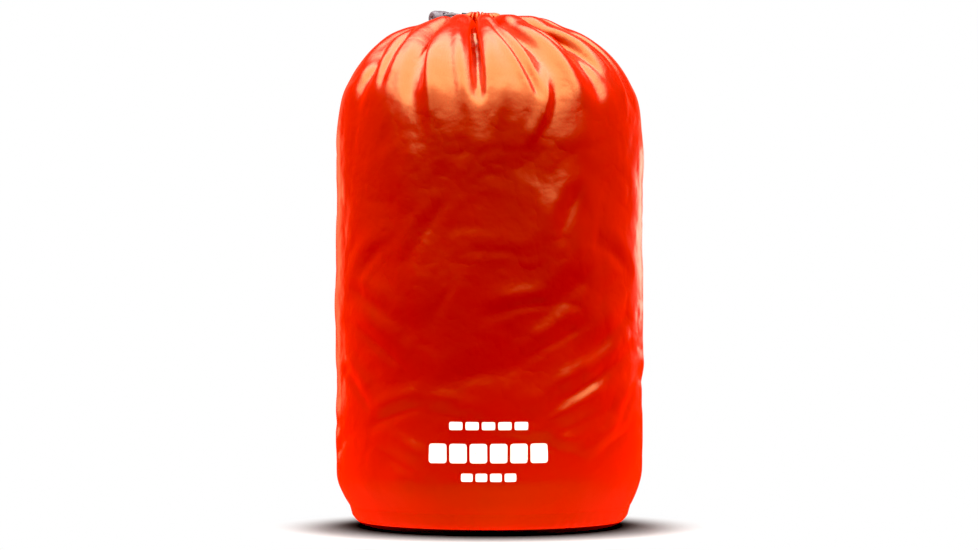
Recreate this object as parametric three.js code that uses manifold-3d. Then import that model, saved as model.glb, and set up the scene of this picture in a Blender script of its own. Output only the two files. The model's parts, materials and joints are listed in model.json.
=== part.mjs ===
// A 16 litre drawstring stuff sack, full and cinched shut.
// Millimetres, +Z up. The origin is the centre of the base, on the floor. -Y is the front.
//
// The sack is a tube of light fabric sewn to a round base. Its hem is a channel for the drawcord, and the
// cinched hem sits in a shallow dip in the crown. Both tails of the cord leave the channel side by side, run
// through a spring cord lock, hang down the back and end in one knot. A pull loop and a label are sewn in.
import * as THREE from "three";
import { mergeVertices } from "three/addons/utils/BufferGeometryUtils.js";
import Module from "manifold-3d";

// Sack
const SACK_RADIUS = 118.5;
const SIDE_TOP = 291; // the straight side ends here and the crown begins
const CROWN_RISE = 110; // from the side's top to where the crown's curve would peak
const BASE_RISE = 70; // the rounded bottom edge ends this high
const FLAT_RADIUS = 73.5; // the part of the base that rests on the floor
const ROUNDNESS = 2.5; // superellipse exponent of both rounded edges; 2 would be an ellipse
const FABRIC = 1.2;
const GAP = 0.4; // between neighbouring pieces
const AROUND = 48; // facets around the sack
const SEAM_ANGLE = 0.8; // where the base seam lies on the bottom curve, from 0 (side) to PI / 2 (floor)

// Crown and mouth
const MOUTH_EDGE = 19.5; // radius of the crown's opening around the drawcord channel
const MOUTH_OFFSET = 12; // the mouth sits this far off the sack's axis
const DIP = 9.5; // depth of the dip that the mouth sits in
const DIP_RADIUS = 55;
const PLEATS = 12;
const PLEAT_DEPTH = 5;

// Directions around Z, in degrees from +X
const CORD_AZIMUTH = 126;
const SEAM_AZIMUTH = 100;

// Drawcord channel
const CHANNEL_RADIUS = 9.4;
const CHANNEL_HALF_WIDTH = 6.5;
const CHANNEL_HALF_HEIGHT = 7.5;
const CHANNEL_Z = 394.5;
const CHANNEL_WALL = 1.1;
const CHANNEL_SQUARENESS = 4;
const CHANNEL_RIPPLE = 0.7;
const CHANNEL_AROUND = 36;

// Drawcord
const CORD_RADIUS = 1.3;
const CORD_HALF_SPACING = 1.6;
const EXIT_Z = 397.5;
const EXIT_REACH = 19.9; // from the mouth's centre to the cord's pivot at the channel
const PIVOT_GAP = 3.6; // cord left out around a pivot, so that it can turn there
const LOCK_REACH = 66.6; // from the sack's axis
const SHOULDER_RADIUS = 60; // the cord runs over the shoulder, through the lock, in an arc of this radius
const ARC_START = 2; // degrees past the arc's highest point
const ARC_AT_LOCK = 10;
const ARC_END = 66.5; // the pivot between the shoulder and the hanging ends
const TAIL_CLEARANCE = 1.1; // between the hanging cord and the sack
const TAIL_RISE = [[PIVOT_GAP, 0.6], [8, 1.9], [15, 3.2]]; // [along, up] from the exit to the shoulder
const HANG_SHORT = [[5, 344], [1.5, 325], [0, 300], [0, 250]]; // [short of the full reach, z] past the shoulder
const KNOT_Z = 212;
const KNOT_RADIUS = 4;
const KNOT_DROP = 1; // from the ends of the strands to the knot's middle
const TIP_LENGTH = 16;
const TIP_DROP = 18.5;
const TIP_SPREAD = 3.4; // sideways from the cord's plane
const TIP_SPLAY = 9; // degrees

// Cord lock, along its own axis: the cord holes are at 0 and the button points to plus
const LOCK_RADIUS = 6.4;
const LOCK_CLEARANCE = 3 * GAP; // above the crown
const LOCK_BORE = 5;
const LOCK_BOTTOM = -9.2;
const LOCK_FLOOR = -8;
const LOCK_RIM = 6.2;
const PLUNGER_RADIUS = 4.7;
const PLUNGER_END = -2.9;
const PLUNGER_TRAVEL = 3;
const BUTTON_RADIUS = 5.6;
const BUTTON_THICKNESS = 2.4;
const CORD_HOLE = 0.3; // clearance around the cords
const CORD_SAG = 0.5; // more room above and below them, as they pass the lock in an arc
const SPRING_RADIUS = 3.6;
const SPRING_WIRE = 0.25;
const SPRING_TURNS = 4;

// Pull loop and label, sewn in beside the side seam
const FELL_WIDTH = 10;
const FELL_THICKNESS = 0.8;
const LOOP_WIDTH = 15;
const LOOP_WEBBING = 1.5;
const LOOP_LENGTH = 28; // from the root to the centre of the open end
const LOOP_END_RADIUS = 5.5;
const LOOP_ROOT_GAP = 1.2; // webbing left out at the root, so that the loop can swing
const LOOP_OPEN = 2.2; // radians each way around the open end, from its tip to where the two layers meet
const LOOP_LAYERS = 0.2; // half the space between the two layers
const LOOP_STANDOFF = 2; // from the seam to the root
const LOOP_TILT = -14;
const LABEL = { width: 14, height: 22, thickness: 0.5, z: 66 };

const wasm = await Module();
wasm.setup();

const degrees = THREE.MathUtils.degToRad;
const smooth = THREE.MathUtils.smoothstep;

// ---------------------------------------------------------------- materials

function material(color, roughness) {
  return new THREE.MeshStandardMaterial({ color, roughness, metalness: 0 });
}

const fabric = material(0xd81606, 0.45);
const cordSheath = material(0x4a4a50, 0.8);
const plastic = material(0x5a5560, 0.4);
const webbing = material(0x3c3c42, 0.85);
const labelCloth = material(0xe8e6e0, 0.7);
const bindingTape = material(0x8f1208, 0.8);
const steel = new THREE.MeshStandardMaterial({ color: 0xb8bac0, roughness: 0.3, metalness: 1 });

// ---------------------------------------------------------------- helpers

function solidOf(geometry) {
  const bare = geometry.clone();
  bare.deleteAttribute("normal");
  bare.deleteAttribute("uv");
  const merged = mergeVertices(bare, 1e-4);
  const vertProperties = new Float32Array(merged.attributes.position.array);
  const triVerts = new Uint32Array(merged.index.array);
  return new wasm.Manifold(new wasm.Mesh({ numProp: 3, vertProperties, triVerts }));
}

function geometryOf(solid) {
  const mesh = solid.getMesh();
  const geometry = new THREE.BufferGeometry();
  geometry.setAttribute("position", new THREE.BufferAttribute(mesh.vertProperties, 3));
  geometry.setIndex(new THREE.BufferAttribute(mesh.triVerts, 1));
  geometry.computeVertexNormals();
  return geometry;
}

function named(name, geometry, ownMaterial) {
  const mesh = new THREE.Mesh(geometry, ownMaterial);
  mesh.name = name;
  return mesh;
}

// A closed profile of [radius, height] points, turned about Z.
function turned(points, segments) {
  const profile = points.map(([r, z]) => new THREE.Vector2(r, z));
  return new THREE.LatheGeometry(profile, segments).rotateX(Math.PI / 2);
}

// A round bar along a curve, with flat ends.
function bar(curve, radius, steps, sides) {
  const circle = new THREE.Shape().absarc(0, 0, radius, 0, 2 * Math.PI);
  return new THREE.ExtrudeGeometry(circle, {
    extrudePath: curve,
    steps,
    curveSegments: sides / 2,
    bevelEnabled: false,
  });
}

// Points a group's +Y outwards along an azimuth, so that its X is sideways and its Z stays up.
function facing(azimuth) {
  const group = new THREE.Group();
  group.rotation.z = degrees(azimuth - 90);
  return group;
}

// ---------------------------------------------------------------- the sack's outline

// A point of a superellipse quarter: angle 0 is on the side and PI / 2 on the flat. The offset is outwards.
function edgePoint(halfWidth, halfHeight, angle, offset) {
  const power = 2 / ROUNDNESS;
  const x = Math.cos(angle) ** power;
  const y = Math.max(Math.sin(angle), 0) ** power;
  const slope = new THREE.Vector2(x ** (ROUNDNESS - 1) / halfWidth, y ** (ROUNDNESS - 1) / halfHeight);
  slope.normalize();
  return [x * halfWidth + slope.x * offset, y * halfHeight + slope.y * offset];
}

// [radius, height] on the rounded bottom edge.
function bottomPoint(angle, offset) {
  const [x, y] = edgePoint(SACK_RADIUS - FLAT_RADIUS, BASE_RISE, angle, offset);
  return [FLAT_RADIUS + x, BASE_RISE - y];
}

// [radius, height] on the crown, before the dip.
function crownPoint(angle, offset) {
  const [x, y] = edgePoint(SACK_RADIUS, CROWN_RISE, angle, offset);
  return [x, SIDE_TOP + y];
}

const CROWN_LAST = Math.acos((MOUTH_EDGE / SACK_RADIUS) ** (ROUNDNESS / 2));

// count + 1 points of one of the two curves, from one angle to another.
function sweep(point, from, to, count, offset) {
  return Array.from({ length: count + 1 }, (_, i) => point(from + ((to - from) * i) / count, offset));
}

const mouthDirection = new THREE.Vector2(Math.cos(degrees(CORD_AZIMUTH)), Math.sin(degrees(CORD_AZIMUTH)));
const mouthCentre = mouthDirection.clone().multiplyScalar(MOUTH_OFFSET);

// How much of the mouth's offset a ring of the crown takes: none at the side, all of it at the mouth.
function leanAt(radius) {
  return 1 - Math.min((radius - MOUTH_EDGE) / (SACK_RADIUS - MOUTH_EDGE), 1);
}

function dipAt(radius) {
  return DIP * (1 - smooth(radius, MOUTH_EDGE, DIP_RADIUS));
}

// Leans the crown's rings over to the mouth, sinks the dip and folds the pleats, all in the crown only.
function shapeCrown(geometry, pleatDepth) {
  const position = geometry.attributes.position;
  for (let i = 0; i < position.count; i++) {
    const [x, y, z] = [position.getX(i), position.getY(i), position.getZ(i)];
    if (z <= SIDE_TOP) continue;
    const radius = Math.hypot(x, y);
    const lean = leanAt(radius);
    const valley = (1 - Math.cos(PLEATS * Math.atan2(y, x))) / 2;
    const fold = pleatDepth * valley * lean * Math.min(1, (z - SIDE_TOP) / CROWN_RISE);
    const [shiftX, shiftY] = [mouthCentre.x * lean, mouthCentre.y * lean];
    position.setXYZ(i, x + shiftX, y + shiftY, z - dipAt(radius) - fold);
  }
  geometry.computeVertexNormals();
  return geometry;
}

// The height of the crown's outer face on the cord's side, at a reach from the sack's axis.
function crownHeight(reach) {
  let radius = reach;
  for (let i = 0; i < 20; i++) {
    radius = reach - MOUTH_OFFSET * leanAt(radius);
  }
  const rise = (1 - (radius / SACK_RADIUS) ** ROUNDNESS) ** (1 / ROUNDNESS);
  return SIDE_TOP + CROWN_RISE * rise - dipAt(radius);
}

// ---------------------------------------------------------------- fabric pieces

function bodyPanel() {
  const crownFirst = 0.2; // the side's top is one long facet up to here
  const [outer, inner] = [0, -FABRIC].map((offset) => [
    ...sweep(bottomPoint, SEAM_ANGLE, 0, 5, offset),
    ...sweep(crownPoint, crownFirst, CROWN_LAST, 8, offset),
  ]);
  const loop = [...outer, ...inner.reverse(), outer[0]];
  return shapeCrown(turned(loop, AROUND), PLEAT_DEPTH);
}

function basePanel() {
  const seam = SEAM_ANGLE + GAP / (SACK_RADIUS - FLAT_RADIUS);
  const under = [[0, 0], ...sweep(bottomPoint, Math.PI / 2, seam, 4, 0)];
  const over = [[0, FABRIC], ...sweep(bottomPoint, Math.PI / 2, seam, 4, -FABRIC)];
  return turned([...under, ...over.reverse()], AROUND);
}

// The tape that binds the raw edges of the base seam, inside the sack.
function baseSeamBinding() {
  const [spread, tape] = [0.12, 1.5]; // radians each way along the curve, and the tape's thickness
  const near = -(FABRIC + GAP);
  const far = near - tape;
  const ring = [
    bottomPoint(SEAM_ANGLE + spread, near),
    bottomPoint(SEAM_ANGLE - spread, near),
    bottomPoint(SEAM_ANGLE - spread, far),
    bottomPoint(SEAM_ANGLE + spread, far),
  ];
  return turned([...ring, ring[0]], AROUND);
}

// The folded strip of the side seam: a flat box laid up the side and over the crown.
function sideSeamFell() {
  const rows = 22;
  const [start, end] = [0.55, CROWN_LAST - 0.12];
  const box = new THREE.BoxGeometry(FELL_WIDTH, 1, FELL_THICKNESS, 2, rows, 1);
  const position = box.attributes.position;
  const bottomShare = 0.3; // of the rows, for the bottom edge; the rest climb the crown
  for (let i = 0; i < position.count; i++) {
    const along = position.getY(i) + 0.5;
    const offset = GAP + FELL_THICKNESS / 2 + position.getZ(i);
    const low = along < bottomShare;
    const share = low ? along / bottomShare : (along - bottomShare) / (1 - bottomShare);
    const [r, z] = low
      ? bottomPoint(start * (1 - share), offset)
      : crownPoint(0.1 + (end - 0.1) * share, offset);
    const across = -position.getX(i);
    position.setXYZ(i, across, Math.sqrt(r * r - across * across), z);
  }
  return shapeCrown(box.rotateZ(degrees(SEAM_AZIMUTH - 90)), 0);
}

// ---------------------------------------------------------------- mouth

// The channel's rounded-square section, as a closed ring of [radius, height] points.
function channelSection(halfWidth, halfHeight, count) {
  const power = 2 / CHANNEL_SQUARENESS;
  const points = Array.from({ length: count }, (_, i) => {
    const angle = (2 * Math.PI * i) / count;
    const [c, s] = [Math.cos(angle), Math.sin(angle)];
    const x = Math.sign(c) * Math.abs(c) ** power;
    const y = Math.sign(s) * Math.abs(s) ** power;
    return [CHANNEL_RADIUS + x * halfWidth, y * halfHeight];
  });
  return [...points, points[0]];
}

// The hem: a gathered hollow ring, with one window where the cord comes out.
function drawcordChannel() {
  const section = 10;
  const outer = turned(channelSection(CHANNEL_HALF_WIDTH, CHANNEL_HALF_HEIGHT, section), CHANNEL_AROUND);
  const position = outer.attributes.position;
  for (let i = 0; i < position.count; i++) {
    const [x, y] = [position.getX(i), position.getY(i)];
    const ripple = 1 + (CHANNEL_RIPPLE / CHANNEL_RADIUS) * Math.cos(PLEATS * Math.atan2(y, x)) ** 2;
    const swell = Math.hypot(x, y) > CHANNEL_RADIUS ? ripple : 1;
    position.setXY(i, x * swell, y * swell);
  }
  const hollow = turned(
    channelSection(CHANNEL_HALF_WIDTH - CHANNEL_WALL, CHANNEL_HALF_HEIGHT - CHANNEL_WALL, section),
    CHANNEL_AROUND,
  );
  return geometryOf(solidOf(outer).subtract(solidOf(hollow)).subtract(solidOf(exitWindow())));
}

// The box cut out of the channel and its patch for the two cords.
function exitWindow() {
  const [besides, above, depth] = [2.4, 0.5, 12]; // room around the two cords
  const width = 2 * (CORD_RADIUS + besides);
  const height = 2 * (CORD_HALF_SPACING + CORD_RADIUS + above);
  return new THREE.BoxGeometry(width, depth, height).translate(0, CHANNEL_RADIUS + depth / 2, EXIT_Z - CHANNEL_Z);
}

// A curved patch that reinforces the window.
function exitPatch() {
  const [width, thickness, height] = [13, 0.7, 9.6];
  const outside = (CHANNEL_RADIUS + CHANNEL_HALF_WIDTH) * (1 + CHANNEL_RIPPLE / CHANNEL_RADIUS);
  const radius = outside + GAP + thickness / 2;
  const plate = new THREE.BoxGeometry(width, thickness, height, 8, 1, 1);
  const position = plate.attributes.position;
  for (let i = 0; i < position.count; i++) {
    const angle = position.getX(i) / radius;
    const reach = radius + position.getY(i);
    position.setXY(i, reach * Math.sin(angle), reach * Math.cos(angle));
  }
  plate.translate(0, 0, EXIT_Z - CHANNEL_Z);
  return geometryOf(solidOf(plate).subtract(solidOf(exitWindow())));
}

// The cord inside the channel: in through the window, once round, and out above itself.
function drawcordRing() {
  const turns = 12;
  const [first, last] = [degrees(38), degrees(322)];
  const rise = EXIT_Z - CHANNEL_Z;
  const [outside, inside] = [EXIT_REACH - PIVOT_GAP, CHANNEL_RADIUS + 4];
  const points = [
    new THREE.Vector3(0, outside, rise - CORD_HALF_SPACING),
    new THREE.Vector3(0.6, inside, rise - CORD_HALF_SPACING),
  ];
  for (let i = 0; i <= turns; i++) {
    const share = i / turns;
    const angle = first + (last - first) * share;
    const height = rise + CORD_HALF_SPACING * (2 * share - 1);
    points.push(
      new THREE.Vector3(CHANNEL_RADIUS * Math.sin(angle), CHANNEL_RADIUS * Math.cos(angle), height),
    );
  }
  points.push(
    new THREE.Vector3(-0.6, inside, rise + CORD_HALF_SPACING),
    new THREE.Vector3(0, outside, rise + CORD_HALF_SPACING),
  );
  return bar(new THREE.CatmullRomCurve3(points), CORD_RADIUS, 40, 8);
}

// ---------------------------------------------------------------- cord tails

// In the cord's own plane: X is across the cords and along the lock, Y is outwards and Z is up.
const exitPivot = new THREE.Vector3(0, MOUTH_OFFSET + EXIT_REACH, EXIT_Z);
const lockCentre = new THREE.Vector3(0, LOCK_REACH, crownHeight(LOCK_REACH) + LOCK_RADIUS + LOCK_CLEARANCE);
const arcCentre = lockCentre.clone().sub(aroundArc(ARC_AT_LOCK, SHOULDER_RADIUS));

function aroundArc(angle, radius) {
  return new THREE.Vector3(0, radius * Math.sin(degrees(angle)), radius * Math.cos(degrees(angle)));
}

const pivotGapAngle = THREE.MathUtils.radToDeg(PIVOT_GAP / SHOULDER_RADIUS);

// One strand from the channel to the shoulder; the two run one above the other through the lock.
function shoulderTail(side) {
  const lift = side * CORD_HALF_SPACING;
  const steps = 16;
  const points = TAIL_RISE.map(([along, rise]) => {
    return exitPivot.clone().add(new THREE.Vector3(0, along, rise + lift));
  });
  for (let i = 0; i <= steps; i++) {
    const angle = ARC_START + ((ARC_END - pivotGapAngle - ARC_START) * i) / steps;
    points.push(arcCentre.clone().add(aroundArc(angle, SHOULDER_RADIUS + lift)));
  }
  return bar(new THREE.CatmullRomCurve3(points), CORD_RADIUS, 28, 8);
}

// The centre line of the two hanging ends, from the shoulder down the side to the knot.
const bendPivot = arcCentre.clone().add(aroundArc(ARC_END, SHOULDER_RADIUS));
const hangingReach = SACK_RADIUS + CORD_RADIUS + TAIL_CLEARANCE;
const hangingCentre = new THREE.CatmullRomCurve3([
  arcCentre.clone().add(aroundArc(ARC_END + pivotGapAngle, SHOULDER_RADIUS)),
  ...[...HANG_SHORT, [0, KNOT_Z + KNOT_RADIUS + 3.5]].map(([short, z]) => {
    return new THREE.Vector3(0, hangingReach - short, z);
  }),
]);

// One hanging strand. It starts above or below its twin, then turns to lie beside it against the sack.
class HangingStrand extends THREE.Curve {
  constructor(side) {
    super();
    this.side = side;
  }
  getPoint(t, target = new THREE.Vector3()) {
    hangingCentre.getPoint(t, target);
    const turn = smooth(t, 0.1, 0.5) * (Math.PI / 2);
    const outward = this.side * CORD_HALF_SPACING * Math.cos(turn);
    target.x += this.side * CORD_HALF_SPACING * Math.sin(turn);
    target.y += outward * Math.sin(degrees(ARC_END));
    target.z += outward * Math.cos(degrees(ARC_END));
    return target;
  }
}

function hangingTail(side) {
  return bar(new HangingStrand(side), CORD_RADIUS, 24, 8);
}

// The overhand knot that joins the two tails.
function cordKnot() {
  const knot = new THREE.TorusKnotGeometry(KNOT_RADIUS, CORD_RADIUS, 42, 7, 2, 3);
  return knot.rotateX(Math.PI / 2);
}

// A short end of cord below the knot, melted round at its tip.
function cordTip() {
  return new THREE.CapsuleGeometry(CORD_RADIUS, TIP_LENGTH - 2 * CORD_RADIUS, 3, 12).rotateX(Math.PI / 2);
}

// ---------------------------------------------------------------- cord lock

// The two cords' shared hole, as a block across the lock: width along the lock's axis, from one end to another.
function cordHole(from, to) {
  const height = 2 * (CORD_HALF_SPACING + CORD_RADIUS + CORD_HOLE + CORD_SAG);
  const length = 4 * LOCK_RADIUS;
  return new THREE.BoxGeometry(to - from, length, height).translate((from + to) / 2, 0, 0);
}

// A profile of [radius, position] points turned about the lock's axis.
function turnedLock(points) {
  return turned(points, 28).rotateY(Math.PI / 2);
}

function lockBarrel() {
  const steps = 6;
  const slimmer = 1.1; // at the barrel's ends
  const bevel = 0.9;
  const bulge = Array.from({ length: steps + 1 }, (_, i) => {
    const share = i / steps;
    const along = LOCK_BOTTOM + bevel + (LOCK_RIM - LOCK_BOTTOM - bevel) * share;
    return [LOCK_RADIUS - slimmer * (2 * share - 1) ** 4, along];
  });
  const shell = turnedLock([
    [0, LOCK_BOTTOM],
    [LOCK_RADIUS - slimmer - bevel, LOCK_BOTTOM],
    ...bulge,
    [LOCK_BORE, LOCK_RIM],
    [LOCK_BORE, LOCK_FLOOR],
    [0, LOCK_FLOOR],
  ]);
  const half = CORD_RADIUS + CORD_HOLE;
  return geometryOf(solidOf(shell).subtract(solidOf(cordHole(-half, half))));
}

function lockPlunger() {
  const neck = LOCK_RIM + PLUNGER_TRAVEL + CORD_HOLE;
  const face = neck + BUTTON_THICKNESS;
  const bevel = 0.8;
  const shape = turnedLock([
    [0, PLUNGER_END],
    [PLUNGER_RADIUS, PLUNGER_END],
    [PLUNGER_RADIUS, neck],
    [BUTTON_RADIUS, neck],
    [BUTTON_RADIUS, face - bevel],
    [BUTTON_RADIUS - bevel, face],
    [0, face],
  ]);
  const half = CORD_RADIUS + CORD_HOLE;
  return geometryOf(solidOf(shape).subtract(solidOf(cordHole(-half, half + PLUNGER_TRAVEL))));
}

// The coil spring between the barrel's floor and the plunger.
class Coil extends THREE.Curve {
  getPoint(t, target = new THREE.Vector3()) {
    const [low, high] = [LOCK_FLOOR + SPRING_WIRE + CORD_HOLE, PLUNGER_END - SPRING_WIRE - CORD_HOLE];
    const angle = 2 * Math.PI * SPRING_TURNS * t;
    return target.set(low + (high - low) * t, SPRING_RADIUS * Math.cos(angle), SPRING_RADIUS * Math.sin(angle));
  }
}

function lockSpring() {
  return bar(new Coil(), SPRING_WIRE, 48, 6);
}

// ---------------------------------------------------------------- pull loop and label

// The folded webbing loop, drawn along +X from its sewn root and then laid outwards.
function pullLoop() {
  const half = LOOP_WEBBING + LOOP_LAYERS;
  const neck = LOOP_LENGTH - 2 * LOOP_END_RADIUS;
  const outline = new THREE.Shape();
  outline.moveTo(LOOP_ROOT_GAP, -half);
  outline.lineTo(neck, -half);
  outline.absarc(LOOP_LENGTH, 0, LOOP_END_RADIUS, -LOOP_OPEN, LOOP_OPEN, false);
  outline.lineTo(neck, half);
  outline.lineTo(LOOP_ROOT_GAP, half);
  const eye = new THREE.Path();
  eye.moveTo(neck + 2, 0);
  eye.absarc(LOOP_LENGTH, 0, LOOP_END_RADIUS - LOOP_WEBBING, -LOOP_OPEN, LOOP_OPEN, false);
  outline.holes.push(eye);
  const strap = new THREE.ExtrudeGeometry(outline, { depth: LOOP_WIDTH, curveSegments: 14, bevelEnabled: false });
  return laidOutwards(strap.translate(0, 0, -LOOP_WIDTH / 2));
}

// The bar of stitching across the loop's root.
function loopBartack() {
  const [length, thickness, fromRoot, inset] = [2.4, 0.6, 5, 1];
  const rise = LOOP_WEBBING + LOOP_LAYERS + GAP + thickness / 2;
  const tack = new THREE.BoxGeometry(length, thickness, LOOP_WIDTH - 2 * inset);
  return laidOutwards(tack.translate(fromRoot, rise, 0));
}

// Turns +X outwards and +Y up, with the old Z across.
function laidOutwards(geometry) {
  return geometry.rotateX(Math.PI / 2).rotateZ(Math.PI / 2);
}

function careLabel() {
  return new THREE.BoxGeometry(LABEL.width, LABEL.thickness, LABEL.height).translate(LABEL.width / 2, 0, 0);
}

// ---------------------------------------------------------------- assembly

const sack = new THREE.Group();
sack.add(named("body_panel", bodyPanel(), fabric));
sack.add(named("base_panel", basePanel(), fabric));
sack.add(named("base_seam_binding", baseSeamBinding(), bindingTape));
sack.add(named("side_seam_fell", sideSeamFell(), fabric));

const mouth = facing(CORD_AZIMUTH);
mouth.position.set(mouthCentre.x, mouthCentre.y, CHANNEL_Z);
mouth.add(named("drawcord_channel", drawcordChannel(), fabric));
mouth.add(named("exit_patch", exitPatch(), webbing));
mouth.add(named("drawcord_ring", drawcordRing(), cordSheath));

const cordPlane = facing(CORD_AZIMUTH);
cordPlane.add(named("drawcord_tail_upper", shoulderTail(1), cordSheath));
cordPlane.add(named("drawcord_tail_lower", shoulderTail(-1), cordSheath));

const lock = new THREE.Group();
lock.position.copy(lockCentre);
lock.rotation.x = -degrees(ARC_AT_LOCK);
lock.add(named("cord_lock_barrel", lockBarrel(), plastic));
lock.add(named("cord_lock_plunger", lockPlunger(), plastic));
lock.add(named("cord_lock_spring", lockSpring(), steel));
cordPlane.add(lock);

cordPlane.add(named("drawcord_end_right", hangingTail(1), cordSheath));
cordPlane.add(named("drawcord_end_left", hangingTail(-1), cordSheath));
const knot = named("cord_knot", cordKnot(), cordSheath);
knot.position.set(0, SACK_RADIUS + TAIL_CLEARANCE + KNOT_RADIUS, KNOT_Z - KNOT_DROP);
cordPlane.add(knot);
for (const [name, side] of [["cord_tip_right", 1], ["cord_tip_left", -1]]) {
  const tip = named(name, cordTip(), cordSheath);
  tip.position.set(side * TIP_SPREAD, SACK_RADIUS + TAIL_CLEARANCE + 2 * CORD_RADIUS, KNOT_Z - TIP_DROP);
  tip.rotation.y = -degrees(TIP_SPLAY) * side;
  cordPlane.add(tip);
}

const seamSide = facing(SEAM_AZIMUTH);
const [loopRadius, loopZ] = bottomPoint(SEAM_ANGLE, LOOP_STANDOFF);
const loop = new THREE.Group();
loop.position.set(0, loopRadius, loopZ);
loop.rotation.x = degrees(LOOP_TILT);
loop.add(named("pull_loop", pullLoop(), webbing));
loop.add(named("pull_loop_bartack", loopBartack(), webbing));
seamSide.add(loop);
const label = named("care_label", careLabel(), labelCloth);
label.position.set(FELL_WIDTH / 2 + 2 * GAP, SACK_RADIUS + GAP + LABEL.thickness, LABEL.z);
seamSide.add(label);

const stuffSack = new THREE.Group();
stuffSack.add(sack, mouth, cordPlane, seamSide);

export default stuffSack;
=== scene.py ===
"""The looks of a full, cinched drawstring stuff sack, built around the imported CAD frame.

The cloth is simulated: a tube of coated nylon, sewn to the base and gathered to the mouth, is filled
until it is taut. Everything sewn on it, such as the seam, the stitching and the print, is laid on the
finished cloth. Lengths are in metres unless a comment says otherwise. -Y is the front and +Z is up.
"""
import json
import math

import bpy
import numpy as np
from mathutils import Matrix, Vector, noise

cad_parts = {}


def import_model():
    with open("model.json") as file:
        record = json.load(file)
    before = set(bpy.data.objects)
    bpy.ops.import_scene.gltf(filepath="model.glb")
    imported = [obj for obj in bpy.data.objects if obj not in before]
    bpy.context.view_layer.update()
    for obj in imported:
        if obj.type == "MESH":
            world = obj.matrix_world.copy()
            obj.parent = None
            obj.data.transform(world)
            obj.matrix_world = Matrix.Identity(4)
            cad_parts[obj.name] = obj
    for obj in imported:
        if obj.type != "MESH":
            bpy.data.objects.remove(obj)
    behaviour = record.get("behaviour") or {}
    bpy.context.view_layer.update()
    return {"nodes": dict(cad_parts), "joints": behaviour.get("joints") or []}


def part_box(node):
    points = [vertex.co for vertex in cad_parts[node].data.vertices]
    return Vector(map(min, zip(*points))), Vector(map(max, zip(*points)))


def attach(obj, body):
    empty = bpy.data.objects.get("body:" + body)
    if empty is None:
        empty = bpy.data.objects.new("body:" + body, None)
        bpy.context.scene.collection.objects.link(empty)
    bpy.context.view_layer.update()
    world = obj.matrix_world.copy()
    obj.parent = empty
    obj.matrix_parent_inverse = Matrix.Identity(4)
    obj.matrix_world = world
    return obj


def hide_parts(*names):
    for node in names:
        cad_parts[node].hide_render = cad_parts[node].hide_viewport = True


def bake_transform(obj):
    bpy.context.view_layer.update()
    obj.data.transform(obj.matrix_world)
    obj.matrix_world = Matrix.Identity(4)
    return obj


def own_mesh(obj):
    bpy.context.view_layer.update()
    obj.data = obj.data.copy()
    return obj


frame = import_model()

MM = 0.001
JOINTS = {joint["name"]: joint for joint in frame["joints"]}


def joint_point(name):
    return np.array(JOINTS[name]["pos_m"], float)


def box_centre(node):
    low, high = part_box(node)
    return np.array((low + high) / 2)


# ---- sizes, from the frame

BODY_LOW, BODY_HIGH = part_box("body_panel")
CHANNEL_LOW, CHANNEL_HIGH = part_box("drawcord_channel")
RADIUS = (BODY_HIGH.x - BODY_LOW.x) / 2
MOUTH = box_centre("drawcord_channel")

# Outline: rounded edges are superellipse quarters, as in the CAD
ROUNDNESS = 2.5
BASE_RISE = 0.59 * RADIUS
FLAT_RADIUS = 0.62 * RADIUS
SEAM_ANGLE = 0.8  # where the base seam lies on the bottom curve, in radians up from the side
CROWN_RISE = 110 * MM
SIDE_TOP = 291 * MM
DIP = 9.5 * MM  # the mouth sits in a dip of the crown
DIP_INNER = 19.5 * MM
DIP_OUTER = 55 * MM
HEM_RADIUS = 12.5 * MM  # where the gathered cloth meets the underside of the drawcord channel

# Cloth
COLUMNS = 200
ROWS = 116
SIM_FRAMES = 20
EASE = 1.004  # how much wider and longer the cloth is than the outline it fills
GATHER_LIMIT = 2.4  # cloth width over ring circumference, at most
CREASE_SHARE = 0.7  # of the depth that would take up all the spare cloth
CREASE_DEPTH = 14 * MM
CREASE_SHARPNESS = 4.0
CREASE_FADE = 30  # mm over which a crease fades in above its end
CREASE_END = 0.35  # share of its depth that is left at its end
BILLOW = 0.12  # how far the cloth stands out between creases, as a share of their depth
# Main creases of the gathered crown. Each: degrees around from the front (positive to the right) at the
# mouth and at the shoulder, depth as a share of the usual, and how far above the side it stops, in mm
CREASES = (
    (-98, -88, 0.90, 10),
    (-68, -59, 1.10, 0),
    (-40, -33, 1.25, 4),
    (-10, -4, 1.25, 16),
    (9, 25, 1.15, 0),
    (35, 46, 1.00, 12),
    (62, 72, 0.85, 4),
    (90, 96, 1.10, 0),
    (118, 119, 0.80, 14),
    (146, 139, 1.15, 2),
    (170, 163, 0.95, 8),
    (194, 192, 1.20, 0),
    (222, 215, 0.85, 12),
    (247, 244, 1.10, 3),
)

# Directions around +Z, in degrees from +X
FRONT = -90
SEAM_AZIMUTH = 100

EXIT = joint_point("cord_lift")
OUT = np.array((EXIT[0] - MOUTH[0], EXIT[1] - MOUTH[1], 0))
OUT /= np.linalg.norm(OUT)  # the way the cord leaves the mouth
UP = np.array((0, 0, 1.0))

rng = np.random.default_rng(16)


# ---- small helpers

def smoothstep(x, low, high):
    t = np.clip((x - low) / (high - low), 0, 1)
    return t * t * (3 - 2 * t)


def band(x, start, full, fading, end):
    """0 up to start, 1 from full to fading, and 0 again past end."""
    return smoothstep(x, start, full) * (1 - smoothstep(x, fading, end))


def unit(v):
    v = np.asarray(v, float)
    return v / np.linalg.norm(v, axis=-1, keepdims=True)


def turned(first, second, angle):
    """Two perpendicular directions, turned by an angle in radians from the first towards the second."""
    c, s = math.cos(angle), math.sin(angle)
    return first * c + second * s, second * c - first * s


def travelled(line):
    """The length of a line of points up to each of them."""
    return np.r_[0, np.cumsum(np.linalg.norm(np.diff(line, axis=0), axis=1))]


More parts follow.
